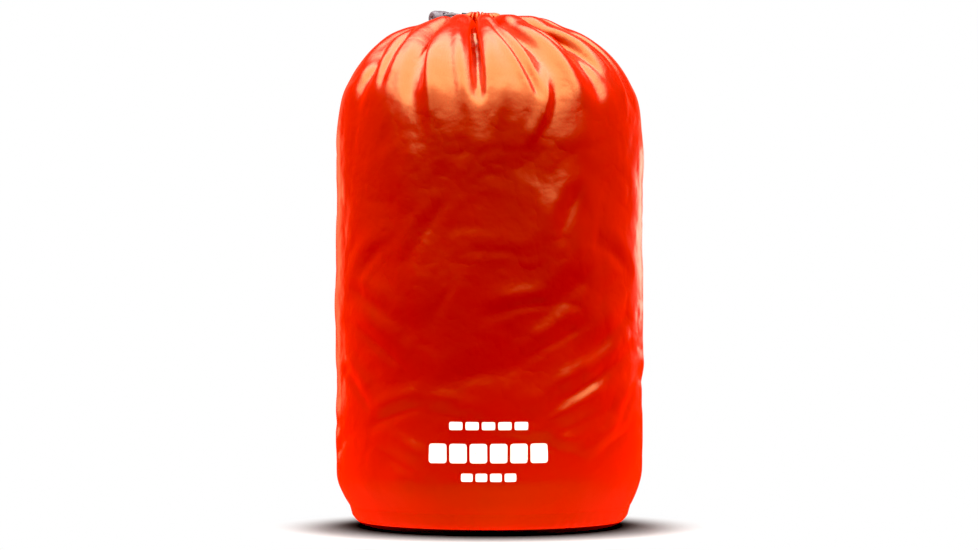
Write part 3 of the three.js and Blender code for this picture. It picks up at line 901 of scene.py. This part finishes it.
def make_cloth():
    place, cut, length = pleated_tube()
    grid = fill_cloth(place, cut)
    cloth = Cloth(halve_spacing(iron(grid)), length[-1])
    moved = cloth.grid + cloth.normal * wrinkle_height(cloth)[..., None]
    return Cloth(fit_under_cord(settle(moved)), length[-1])


cloth = make_cloth()


def on_crown(piece):
    """Bakes the placement of cloth between the sack and its mouth into its mesh; it is not made to stretch
    when the mouth is lifted.
    """
    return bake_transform(piece)


def sack_body():
    girth = 2 * math.pi * RADIUS
    around = np.arange(cloth.columns) / cloth.columns * girth
    uv = spread(around, np.linspace(0, cloth.length, cloth.rows)[:, None])
    body = add_mesh("sack_body", cloth.grid, grid_faces(cloth.rows, cloth.columns), NYLON, uv)
    unwrap_seam(body, girth)
    on_crown(stand_in(body, "body_panel"))


BASE_FLAT = 0.77  # share of the base's radius that stands flat
PUCKER = 0.25 * MM


def sack_base():
    """The round base: flat where it stands, then curving up to the seam with small puckers."""
    rim = cloth.at(cloth.azimuths, 0)
    rings = 34
    turn = np.arctan2(rim[:, 1], rim[:, 0])
    seam_z = rim[:, 2].mean()
    grid = np.zeros((rings, cloth.columns, 3))
    for j in range(rings):
        share = (j / (rings - 1)) ** 0.6
        radius = share * np.linalg.norm(rim[:, :2], axis=1)
        rise = np.clip((share - BASE_FLAT) / (1 - BASE_FLAT), 0, 1)
        z = seam_z * (1 - (1 - rise**3) ** 0.56)
        pucker = PUCKER * smoothstep(share, 0.86, 0.98) * np.sin(turn * 61 + 3 * np.sin(turn * 7))
        grid[j] = ring(radius, turn, np.maximum(z + pucker, 0.0))
    grid[-1, :, 2] = seam_z
    base = add_mesh("sack_base", grid[::-1], grid_faces(rings, cloth.columns), NYLON, grid[::-1, :, :2])
    stand_in(base, "base_panel", "sack")


sack_body()
sack_base()


# ---- side seam and stitching

SEAM_LIFT = 0.55 * MM
TUCK = 0.15 * MM


def strip_on_cloth(name, azimuth, half_width, rows, lift, material):
    """A sewn strip that follows a line up the cloth: full in the middle, tucked in at both edges."""
    share = np.linspace(-1, 1, 9)
    height = lift * (1 - np.abs(share) ** 6)
    height[[0, -1]] -= TUCK
    grid = cloth.at(azimuth + np.degrees(half_width / RADIUS) * share, rows[:, None], height)
    uv = spread(share * half_width, rows[:, None] / cloth.rows * cloth.length)
    return add_mesh(name, grid, grid_faces(len(rows), len(share), closed=False), material, uv)


def stitch(points, faces, start, end, normal, radius):
    """Adds one stitch, a little rounded bar of thread that dives into the cloth at both ends."""
    sides, steps = 6, 5
    along = end - start
    sideways = unit(np.cross(along, normal))
    first = len(points)
    for s in range(steps):
        share = s / (steps - 1)
        sink = math.sin(math.pi * share)
        middle = start + along * share + normal * radius * (1.3 * sink - 0.6)
        thick = radius * (0.45 + 0.55 * sink)
        for k in range(sides):
            angle = 2 * math.pi * k / sides
            points.append(middle + (sideways * math.cos(angle) + normal * math.sin(angle)) * thick)
    faces.extend(grid_faces(steps, sides, first=first) + end_caps(steps, sides, first))


def stitch_line(name, places, normals, material, length=2.4 * MM, pitch=3.1 * MM, radius=0.24 * MM):
    """A row of stitches along a dense line of points."""
    walked = travelled(places)
    points, faces = [], []

    def at(distance, field):
        return np.array([np.interp(distance, walked, field[:, k]) for k in range(3)])

    for begin in np.arange(0, walked[-1] - length, pitch):
        normal = unit(at(begin + length / 2, normals))
        stitch(points, faces, at(begin, places), at(begin + length, places), normal, radius)
    return add_mesh(name, points, faces, material)


def cloth_line(azimuth, rows, lift):
    """A line of points and its normals over the cloth."""
    on, above = cloth.at(azimuth, rows, lift), cloth.at(azimuth, rows, lift + 1 * MM)
    return on, unit(above - on)


def side_seam():
    """The felled seam up the back, with its two rows of stitches."""
    rows = np.linspace(1, cloth.rows * 0.955, 420)
    fell = strip_on_cloth("side_seam_fell_strip", SEAM_AZIMUTH, 5 * MM, rows, SEAM_LIFT, SEAM_NYLON)
    on_crown(stand_in(fell, "side_seam_fell"))
    for name, side in (("left", -1), ("right", 1)):
        offset = np.degrees(side * 3.4 * MM / RADIUS)
        places, normals = cloth_line(SEAM_AZIMUTH + offset, rows, SEAM_LIFT)
        stitches = stitch_line(f"side_seam_stitches_{name}", places, normals, RED_THREAD)
        on_crown(stitches)


side_seam()


# ---- print

PRINT_SPACING = 1.2 * MM  # between the ink's points, so that it follows the cloth
PRINT_CORNER = 0.16  # rounding, as a share of the block's smaller side
INK_LIFT = 0.16 * MM


def print_block(points, faces, uvs, centre, width, height):
    """One rounded block of ink, laid on the front of the cloth."""
    across, up = max(4, int(width / PRINT_SPACING)), max(5, int(height / PRINT_SPACING))
    corner = PRINT_CORNER * min(width, height)
    half = np.array((width / 2, height / 2))
    flat = spread(np.linspace(-1, 1, across), np.linspace(-1, 1, up)[:, None]) * half
    beyond = np.maximum(np.abs(flat) - half + corner, 0)  # how far a point is past the corner's centre
    over = np.linalg.norm(beyond, axis=-1)
    pull = np.where(over > corner, corner / np.maximum(over, 1e-9), 1)
    flat = centre + np.sign(flat) * (np.minimum(np.abs(flat), half - corner) + beyond * pull[..., None])
    azimuth = FRONT + np.degrees(np.arcsin(flat[..., 0] / RADIUS))
    grid = cloth.at(azimuth, cloth.row_at(flat[..., 1]), INK_LIFT)
    faces.extend(grid_faces(up, across, closed=False, first=len(points)))
    points.extend(grid.reshape(-1, 3))
    uvs.extend(flat.reshape(-1, 2))


def front_print():
    """Three plain rows of equal blocks where a sack carries its print; they stand for no letters."""
    points, faces, uvs = [], [], []
    gap, middle = 2.2 * MM, -1 * MM
    rows = (  # height of the row's middle, block height, row width, number of blocks
        (83 * MM, 6.0 * MM, 58 * MM, 5),
        (62.5 * MM, 14.5 * MM, 88 * MM, 6),
        (44.5 * MM, 6.0 * MM, 41 * MM, 4),
    )
    for level, height, row_width, count in rows:
        width = (row_width + gap) / count - gap
        for number in range(count):
            x = middle - row_width / 2 + width / 2 + number * (width + gap)
            print_block(points, faces, uvs, (x, level), width, height)
    ink = add_mesh("front_print", points, faces, INK, uvs)
    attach(ink, "sack")


front_print()


# ---- mouth

RUFFLE_FOLDS = 21
RUFFLE_HALF_WIDTH = 5.9 * MM
RUFFLE_HALF_HEIGHT = (CHANNEL_HIGH.z - CHANNEL_LOW.z) / 2 - 0.6 * MM
RUFFLE_SQUARENESS = 0.62  # 1 gives an elliptical section, less a squarer one
RUFFLE_DROP = 1.2 * MM


def channel_ruffle():
    """The gathered hem around the drawcord: a closed ring of unequal folds."""
    around, section = 384, 30
    turn = full_turn(around)
    middle = (CHANNEL_HIGH.x - CHANNEL_LOW.x) / 4 + 1.2 * MM
    edges = np.cumsum(rng.uniform(0.6, 1.4, RUFFLE_FOLDS))
    edges = np.r_[0, edges] / edges[-1] * 2 * math.pi
    phase = np.interp(turn, edges, np.arange(RUFFLE_FOLDS + 1))
    valley = np.abs(2 * (phase % 1) - 1) ** 2.2
    proud = rng.uniform(0.6, 1.25, RUFFLE_FOLDS)[phase.astype(int) % RUFFLE_FOLDS]
    fold = (1.5 * proud * (1 - valley) - 2.4 * valley) * MM
    grid = []
    for angle in full_turn(section):
        c, s = math.cos(angle), math.sin(angle)
        x = math.copysign(abs(c) ** RUFFLE_SQUARENESS, c)
        z = math.copysign(abs(s) ** RUFFLE_SQUARENESS, s)
        radius = middle + x * RUFFLE_HALF_WIDTH + fold * max(c, -0.25)
        rise = z * RUFFLE_HALF_HEIGHT + (fold * 0.7 + 0.5 * MM * np.sin(turn * 3 + 1.0)) * max(s, 0)
        grid.append(ring(radius, turn, MOUTH[2] - RUFFLE_DROP + rise, MOUTH))
    points = np.concatenate(grid)
    faces = [tuple(k % len(points) for k in face) for face in grid_faces(section + 1, around)]
    uv = spread(turn * 0.08, np.arange(section)[:, None] * 1.6 * MM)
    ruffle = add_mesh("drawcord_channel_ruffle", points, faces, NYLON, uv)
    stand_in(ruffle, "drawcord_channel", "mouth")
    line = np.concatenate([grid[-1], grid[-1][:1]])  # low on the section's outer side
    outside = unit((line - MOUTH) * (1, 1, 0))
    hem = stitch_line("channel_stitches", line + outside * 0.1 * MM, outside, RED_THREAD,
                      length=1.9 * MM, pitch=2.5 * MM, radius=0.2 * MM)
    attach(hem, "mouth")


channel_ruffle()


# ---- cord

def cord(name, path, material, radius=CORD_RADIUS, round_end=False, plait=0.07, sides=20):
    """A cord swept along a path; plait is how deep its sheath's diamonds are, as a share of its radius."""
    path = np.asarray(path)
    tangent = unit(np.gradient(path, axis=0))
    reference = unit(np.cross(tangent[0], UP + 0.3 * OUT))
    walked = travelled(path)
    angle = full_turn(sides)
    rings = []
    for k in range(len(path)):
        reference = unit(reference - tangent[k] * np.dot(reference, tangent[k]))
        other = np.cross(tangent[k], reference)
        phase = walked[k] / PLAIT * math.pi
        diamond = np.maximum(np.abs(np.sin(4 * angle + phase)), np.abs(np.sin(4 * angle - phase)))
        thick = radius * (1 - plait + plait * diamond)
        if round_end:
            left = min(walked[k], walked[-1] - walked[k]) / radius
            thick = thick * math.sqrt(max(1 - (1 - min(left, 1)) ** 2, 0.02))
        around = np.cos(angle)[:, None] * reference + np.sin(angle)[:, None] * other
        rings.append(path[k] + thick[:, None] * around)
    faces = grid_faces(len(path), sides) + end_caps(len(path), sides)
    uv = spread(angle / (2 * math.pi), walked[:, None])
    piece = add_mesh(name, rings, [face[::-1] for face in faces], material, uv)
    unwrap_seam(piece, 1.0)
    return piece


def shoulder_run(side):
    """Where one strand goes from inside the channel, through the lock, to halfway down the shoulder."""
    lift = side * CORD_HALF_SPACING
    points = [EXIT - OUT * CORD_START + UP * (lift * 0.9 - 0.5 * MM)]
    points += [EXIT + OUT * along * MM + UP * (rise * MM + lift) for along, rise in RISE_TO_SHOULDER]
    points += [on_arc(angle, lift) for angle in np.linspace(math.radians(2), SPLIT_ANGLE, 8)]
    return points


def hanging_run(side):
    """Where the same strand goes on: round the arc and down to the knot, turning beside its twin."""
    line = hanging_centre()
    turn = smoothstep(line[:, 2], 360 * MM, 300 * MM) * math.pi / 2
    from_centre = line - ARC_CENTRE
    arc_angle = np.clip(np.arctan2(from_centre @ OUT, from_centre[:, 2]), SPLIT_ANGLE, ARC_END)
    radial = OUT * np.sin(arc_angle)[:, None] + UP * np.cos(arc_angle)[:, None]
    offset = np.cos(turn)[:, None] * radial + np.sin(turn)[:, None] * ACROSS
    close = 1 - 0.35 * smoothstep(line[:, 2], KNOT[2] + 22 * MM, KNOT[2])
    return line + side * CORD_HALF_SPACING * close[:, None] * offset


def drawcord():
    """The two strands, each in two pieces that meet halfway down the shoulder."""
    for name, side, end in (("upper", 1, "right"), ("lower", -1, "left")):
        run = cord(f"drawcord_{name}_run", spline(shoulder_run(side), 190), BRAID)
        stand_in(run, f"drawcord_tail_{name}")
        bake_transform(run)
        drop = cord(f"drawcord_{name}_drop", hanging_run(side), BRAID)
        stand_in(drop, f"drawcord_end_{end}")
        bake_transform(drop)


def drawcord_ring():
    """The cord's way round inside the channel, from one strand to the other."""
    angles = np.radians(np.linspace(38, 322, 15))
    share = np.linspace(-1, 1, len(angles))
    middle = np.array((MOUTH[0], MOUTH[1], EXIT[2]))
    around = [middle + RING_RADIUS * (OUT * math.cos(a) + ACROSS * math.sin(a)) + UP * CORD_HALF_SPACING * t
              for a, t in zip(angles, share)]
    ends = [shoulder_run(side)[0] for side in (-1, 1)]
    hidden = cord("drawcord_inner_ring", spline([ends[0], *around, ends[1]], 260), BRAID)
    stand_in(hidden, "drawcord_ring", "mouth")


drawcord()
drawcord_ring()

KNOT_SIZE = 2.05 * MM
KNOT_CORD_RADIUS = 1.6 * MM
MELTED_RADIUS = 1.42 * MM


def knot_and_tips():
    """An overhand knot tied in both ends together, and the two short tips below it."""
    turns = 2 * math.pi * np.linspace(0, 1, 150)
    x = (np.sin(turns) + 1.5 * np.sin(2 * turns)) * KNOT_SIZE
    y = -np.sin(3 * turns) * KNOT_SIZE * 0.95
    z = (np.cos(turns) - 1.5 * np.cos(2 * turns)) * KNOT_SIZE * 1.15
    path = KNOT + x[:, None] * ACROSS + y[:, None] * OUT + z[:, None] * UP
    knot = cord("overhand_knot", path, BRAID, radius=KNOT_CORD_RADIUS)
    stand_in(knot, "cord_knot", "cord_ends")
    for name in ("right", "left"):
        end = box_centre(f"cord_tip_{name}")
        sideways = ACROSS * math.copysign(MM, np.dot(end - KNOT, ACROSS))
        end = end + sideways * 0.8 - UP * 7 * MM
        start = KNOT + sideways * 1.2 - UP * 3 * MM
        middle = (start + end) / 2 + sideways * 0.9 + OUT * 0.5 * MM
        line = spline([start, middle, end], 40)
        tip = cord(f"cord_end_{name}", line, BRAID)
        stand_in(tip, f"cord_tip_{name}", "cord_ends")
        down = unit(line[-1] - line[-4])
        melted = spline([line[-1] - down * 1.2 * MM, line[-1] + down * 1.3 * MM], 14)
        blob = cord(f"melted_end_{name}", melted, MELTED, radius=MELTED_RADIUS, round_end=True, plait=0.0)
        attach(blob, "cord_ends")


knot_and_tips()


# ---- cord lock

def lathe(name, profile, material, segments=64):
    """Turns a closed profile of [radius, position] in mm about X; the caller places it."""
    turn = full_turn(segments)
    points = np.concatenate([spread(s, r * np.cos(turn), r * np.sin(turn)) * MM for r, s in profile])
    faces = [tuple(k % len(points) for k in face) for face in grid_faces(len(profile) + 1, segments)]
    return add_mesh(name, points, faces, material)


def apply_modifiers(piece):
    """Makes what the modifiers give the piece's own mesh."""
    graph = bpy.context.evaluated_depsgraph_get()
    mesh = bpy.data.meshes.new_from_object(piece.evaluated_get(graph), depsgraph=graph)
    piece.modifiers.clear()
    piece.data = mesh


SLOT_ROUNDING = 1.6 * MM  # how far the rounding reaches at each end of a slot
SLOT_HALF_HEIGHT = 3.6 * MM


def cut_slot(piece, low, high):
    """Cuts a slot for the cords through a lock part, between two places along its axis in mm."""
    sides, length = 32, 20 * MM
    turn = full_turn(sides)
    middle, half = (low + high) / 2 * MM, (high - low) / 2 * MM
    straight = np.sign(np.round(np.sin(turn), 6)) * (SLOT_HALF_HEIGHT - SLOT_ROUNDING)
    edge = spread(middle + half * np.cos(turn), 0.0, np.sin(turn) * SLOT_ROUNDING + straight)
    points = np.vstack([edge + (0, -length, 0), edge + (0, length, 0)])
    faces = grid_faces(2, sides) + end_caps(2, sides)
    cutter = add_mesh("cutter", points, [face[::-1] for face in faces], PLASTIC)
    boolean = piece.modifiers.new("slot", "BOOLEAN")
    boolean.object = cutter
    boolean.operation = "DIFFERENCE"
    boolean.solver = "EXACT"
    apply_modifiers(piece)
    bpy.data.objects.remove(cutter)


def place_on_lock(piece):
    """Puts a part made about X at the lock's place on the cord."""
    tangent, radial = turned(OUT, UP, -LOCK_ANGLE)
    matrix = np.eye(4)
    matrix[:3] = np.c_[ACROSS, tangent, radial, on_arc(LOCK_ANGLE)]
    piece.data.transform(Matrix(matrix))
    piece.data.update()
    return piece


def rounded(profile, radius):
    """A closed profile with its corners rounded."""
    profile = np.asarray(profile, float)
    out = []
    for before, corner, after in zip(np.roll(profile, 1, 0), profile, np.roll(profile, -1, 0)):
        back, ahead = before - corner, after - corner
        cut = min(radius, 0.45 * np.linalg.norm(back), 0.45 * np.linalg.norm(ahead))
        start, end = corner + unit(back) * cut, corner + unit(ahead) * cut
        for t in (0, 0.5, 1):
            out.append(start * (1 - t) ** 2 + corner * 2 * t * (1 - t) + end * t**2)
    return np.array(out)


def cord_lock():
    """The barrel, with faint grip grooves, and the button that slides in it; profiles are in mm."""
    outer, bore, bottom, mouth = LOCK_RADIUS / MM, 5.0, -9.2, 6.2
    grips = []
    for share in np.linspace(0, 1, 13):
        groove = 0.28 * max(0, math.sin(share * math.pi * 7)) * (0.15 < share < 0.85)
        grips.append((outer - abs(2 * share - 1) ** 4 - groove, bottom + 0.8 + 14.4 * share))
    shell = [(0.01, bottom), (outer - 2.2, bottom), *grips, (outer - 0.5, mouth), (bore, mouth),
             (bore, bottom + 1.2), (0.01, bottom + 1.2)]
    barrel = lathe("lock_barrel", shell, PLASTIC)
    cut_slot(barrel, -1.6, 1.6)
    stand_in(place_on_lock(barrel), "cord_lock_barrel", "cord_lock")
    stem, cap, inner_end, neck = 4.7, 5.7, -2.9, 9.5
    button = [(0.01, inner_end), (stem, inner_end), (stem, neck), (cap, neck), (cap, neck + 2.2),
              (4.6, neck + 2.9), (3.2, neck + 2.5), (0.01, neck + 2.3)]
    plunger = lathe("lock_button", rounded(button, 0.45), PLASTIC)
    cut_slot(plunger, -1.6, 4.6)
    stand_in(place_on_lock(plunger), "cord_lock_plunger", "lock_button")


def lock_spring():
    """The coil between the barrel's floor and the button, at the length it has while the button is not
    pressed.
    """
    floor_at, button_at, coil, turns = -7.7 * MM, -3.2 * MM, 3.6 * MM, 4
    share = np.linspace(0, 1, 180)
    angle = 2 * math.pi * turns * share
    path = spread(floor_at + (button_at - floor_at) * share, coil * np.cos(angle), coil * np.sin(angle))
    spring = cord("lock_spring", path, WIRE, radius=0.25 * MM, plait=0.0, sides=10)
    stand_in(place_on_lock(spring), "cord_lock_spring", "cord_lock")
    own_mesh(spring)


cord_lock()
lock_spring()


# ---- pull loop and label

ROOT = joint_point("loop_swing")
SEAM_OUT = np.array((math.cos(math.radians(SEAM_AZIMUTH)), math.sin(math.radians(SEAM_AZIMUTH)), 0))
SEAM_ACROSS = unit(JOINTS["loop_swing"]["axis"])
LOOP_TILT = math.radians(-14)
STRAP = 1.3 * MM
LOOP_WIDTH = 15 * MM
TACK_STITCHES = 15
LABEL_WIDTH = 14 * MM


def strap(name, path, width, thickness, across, material):
    """A flat strap swept along a path, with rounded edges."""
    tangent = unit(np.gradient(path, axis=0))
    sides = 28
    angle = full_turn(sides)
    flat = np.sign(np.cos(angle)) * np.abs(np.cos(angle)) ** 0.35 * width / 2
    thick = np.sign(np.sin(angle)) * np.abs(np.sin(angle)) ** 0.7 * thickness / 2
    normal = np.cross(across, tangent)
    grid = path[:, None, :] + flat[:, None] * across + thick[:, None] * normal[:, None, :]
    faces = grid_faces(len(path), sides) + end_caps(len(path), sides)
    return add_mesh(name, grid, faces, material, spread(flat, travelled(path)[:, None]))


def pull_loop():
    """A strap folded in two, sewn into the base seam and held by a zigzag of stitches across its root."""
    outwards, upwards = turned(SEAM_OUT, UP, LOOP_TILT)
    half = STRAP / 2 + 0.15 * MM
    upper = [(-3.5, half / MM), (4, half / MM), (12, half / MM), (20, 2.6), (27, 4.6), (31.5, 3.2), (33, 0)]
    line = upper + [(x, -z) for x, z in reversed(upper[:-1])]
    path = spline([ROOT + outwards * x * MM + upwards * z * MM for x, z in line], 110)
    loop = strap("pull_loop_strap", path, LOOP_WIDTH, STRAP, SEAM_ACROSS, WEBBING)
    stand_in(loop, "pull_loop")
    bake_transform(loop)
    top = upwards * (half + STRAP / 2 + 0.05 * MM)
    places = []
    for k in range(TACK_STITCHES + 1):
        x = (4.0 if k % 2 else 6.6) * MM
        y = min((k / (TACK_STITCHES - 1) - 0.5) * (LOOP_WIDTH - 3 * MM), LOOP_WIDTH / 2 - 1.2 * MM)
        places.append(ROOT + outwards * x + SEAM_ACROSS * y + top)
    points, faces = [], []
    for start, end in zip(places, places[1:]):
        stitch(points, faces, start, end, upwards, 0.28 * MM)
    tack = add_mesh("loop_bartack_stitches", points, faces, GREY_THREAD)
    stand_in(tack, "pull_loop_bartack", "loop")


def care_label():
    """A folded blank ribbon, sewn in along the side seam's edge."""
    low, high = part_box("care_label")
    across = np.cross(UP, SEAM_OUT)
    columns, rows = 26, 22
    along = np.linspace(0, 1, columns)
    under = 0.05 * MM + 1.5 * MM * along**2
    over = 0.60 * MM + 1.5 * MM * along**2 + 0.45 * MM * (1 - (2 * along - 1) ** 2)
    x = np.r_[along * LABEL_WIDTH, LABEL_WIDTH + 0.25 * MM, along[::-1] * LABEL_WIDTH - 0.2 * MM]
    lift = np.r_[under, (over[-1] + under[-1]) / 2, over[::-1]]
    z = np.linspace(low.z, high.z, rows)
    sag = 0.25 * MM * np.sin(np.linspace(0, math.pi, rows))
    grid = joint_point("label_flip") * (1, 1, 0) + x[:, None] * across + z[:, None, None] * UP
    grid = grid + (lift + sag[:, None])[..., None] * SEAM_OUT
    faces = grid_faces(rows, len(x), closed=False)
    label = add_mesh("blank_care_label", grid, faces, LABEL, spread(x, z[:, None]))
    solid = label.modifiers.new("thickness", "SOLIDIFY")
    solid.thickness = 0.18 * MM
    solid.offset = 0
    apply_modifiers(label)
    stand_in(label, "care_label", "label")


pull_loop()
care_label()


# ---- CAD nodes that stay

for node, material in (("exit_patch", PATCH_TAPE), ("base_seam_binding", BINDING_TAPE)):
    piece = frame["nodes"][node]
    piece.data.materials.clear()
    piece.data.materials.append(material)
    bevel = piece.modifiers.new("soft_edge", "BEVEL")
    bevel.width = 0.2 * MM
    bevel.segments = 2
    bevel.limit_method = "ANGLE"


# ---- studio

# The floor's painted shade and its paper are both centred on the next point.
SACK_ON_FLOOR = (0, -0.045, 0)  # middle of the floor's shading, a little in front of the sack
PAPER_FROM, PAPER_TO = 0.12, 0.19  # where the floor turns into white paper
# painted shade: the floor's colour darkens from full at the second distance to black at the first, in metres
# from the sack
SHADE_FROM, SHADE_TO = 0.60, 0.30
# painted contact shadow: how far and how strongly ambient occlusion darkens the floor's colour near the sack
PAINTED_SHADOW_REACH = 80 * MM
PAINTED_SHADOW_DEPTH = 3.6


def floor():
    """Pale paper near the sack, with a painted contact shadow darkening its colour close by; further off it
    runs out into the white of the backdrop.

    The cloth's gloss would mirror it, so only the camera sees it, and the light that it would throw back
    comes from the floor_bounce softbox.
    """
    n = Nodes("pale_floor")
    place = n.place()
    distance = n.add("VectorMath", {0: place, 1: SACK_ON_FLOOR}, operation="DISTANCE").outputs["Value"]

    def reached(start, end):
        inputs = {"Value": distance, "From Min": start, "From Max": end}
        return n.add("MapRange", inputs, interpolation_type="SMOOTHSTEP").outputs["Result"]

    seen = n.add("LightPath").outputs["Is Camera Ray"]
    # painted contact shadow: the floor's colour is darkened by ambient occlusion, for the camera only
    close = n.add("AmbientOcclusion", {"Distance": PAINTED_SHADOW_REACH}).outputs["AO"]
    painted_contact_shadow = n.times(seen, n.math("POWER", close, PAINTED_SHADOW_DEPTH))
    # painted shade: the painted contact shadow times a darkening further from the sack
    painted_shade = n.times(painted_contact_shadow, reached(SHADE_FROM, SHADE_TO))
    tone = n.ramp(n.noise(3, 3, place), 0.3, 0.7, (0.56, 0.56, 0.56), (0.58, 0.58, 0.58))
    tone = n.add("VectorMath", {0: tone, "Scale": painted_shade}, operation="SCALE").outputs["Vector"]
    material = n.finish(Base_Color=tone, Roughness=0.9, Specular_IOR_Level=0.0)
    paper = n.add("Emission", {"Color": (1, 1, 1, 1), "Strength": 1.0}).outputs[0]
    mix = n.add("MixShader", {0: n.times(reached(PAPER_FROM, PAPER_TO), seen)})
    n.plug(mix.inputs[1], n.surface.outputs[0])
    n.plug(mix.inputs[2], paper)
    n.plug(n.tree.nodes["Material Output"].inputs["Surface"], mix.outputs[0])
    size = 12.0
    corners = [(-size, -size, 0), (size, -size, 0), (size, size, 0), (-size, size, 0)]
    add_mesh("floor", corners, [(0, 1, 2, 3)], material, smooth=False)


WORLD_DIM = 0.02


def world():
    """White to the camera, dim to everything else."""
    made = bpy.data.worlds.new("studio")
    made.use_nodes = True
    tree = made.node_tree
    paper = tree.nodes["Background"]
    paper.inputs["Color"].default_value = (1, 1, 1, 1)
    seen = tree.nodes.new("ShaderNodeLightPath")
    strength = tree.nodes.new("ShaderNodeMapRange")
    strength.inputs["To Min"].default_value = WORLD_DIM
    strength.inputs["To Max"].default_value = 1.0
    tree.links.new(seen.outputs["Is Camera Ray"], strength.inputs["Value"])
    tree.links.new(strength.outputs[0], paper.inputs["Strength"])
    bpy.context.scene.world = made


WARM = (1.0, 0.45, 0.2)  # as thrown back by cloth of the sack's own colour


def softbox(name, place, size, radiance, aim=(0, 0, 0.2), tint=(1, 1, 1), mirrored=True):
    """A rectangular soft light that the camera never sees; mirrored: whether the cloth's gloss shows it."""
    light = bpy.data.lights.new(name, "AREA")
    light.shape = "RECTANGLE"
    light.size, light.size_y = size
    light.energy = radiance * math.pi * size[0] * size[1]
    light.color = tint
    lamp = bpy.data.objects.new(name, light)
    lamp.location = place
    lamp.rotation_euler = (Vector(aim) - Vector(place)).to_track_quat("-Z", "Y").to_euler()
    lamp.visible_camera = False
    lamp.visible_glossy = mirrored
    bpy.context.scene.collection.objects.link(lamp)


# The overhead softboxes, one under another, so that their reflection fades out towards its edge. Each:
# height, width, depth and radiance
OVERHEAD = ((1.65, 4.4, 3.5, 2.2), (1.60, 3.5, 2.2, 2.0), (1.55, 2.6, 1.7, 3.4))
FLOOR_TINT = (1, 0.55, 0.4)


def lights():
    for height, wide, deep, radiance in OVERHEAD:
        softbox("overhead", (0, -0.18, height), (wide, deep), radiance, aim=(0, 0.55, height - 1.43))
    softbox("floor_bounce", (0, 0, 0.004), (0.56, 0.56), 4.2, (0, 0, 1), FLOOR_TINT, mirrored=False)
    softbox("left", (-1.35, 0.35, 0.45), (1.6, 1.7), 2.7, tint=WARM, mirrored=False)
    softbox("right", (1.35, 0.35, 0.45), (1.6, 1.7), 3.1, tint=WARM, mirrored=False)
    softbox("behind", (0, 2.2, 0.9), (2.4, 1.2), 0.8, tint=(1, 0.5, 0.3))
    softbox("left_edge", (-0.62, 1.05, 0.22), (0.30, 0.36), 2.4, (-0.1, 0.0, 0.2), (1, 0.4, 0.2))
    softbox("right_edge", (0.62, 1.05, 0.25), (0.30, 0.22), 5.0, (0.1, 0.0, 0.23), (1, 0.75, 0.6))


def camera():
    """Level with the middle of the sack, in front of it."""
    lens = bpy.data.cameras.new("camera")
    lens.sensor_width = 36
    lens.lens = 114.4
    view = bpy.data.objects.new("camera", lens)
    view.location = (-0.8 * MM, -2.43, 0.1956)
    view.rotation_euler = (math.pi / 2, 0, 0)
    bpy.context.scene.collection.objects.link(view)
    bpy.context.scene.camera = view


def grade():
    """The plain view transform, with the black point raised a little, as in a product photograph."""
    view = bpy.context.scene.view_settings
    view.view_transform = "Standard"
    view.use_curve_mapping = True
    view.curve_mapping.black_level = [0.007] * 3
    view.curve_mapping.update()


floor()
world()
lights()
camera()
grade()
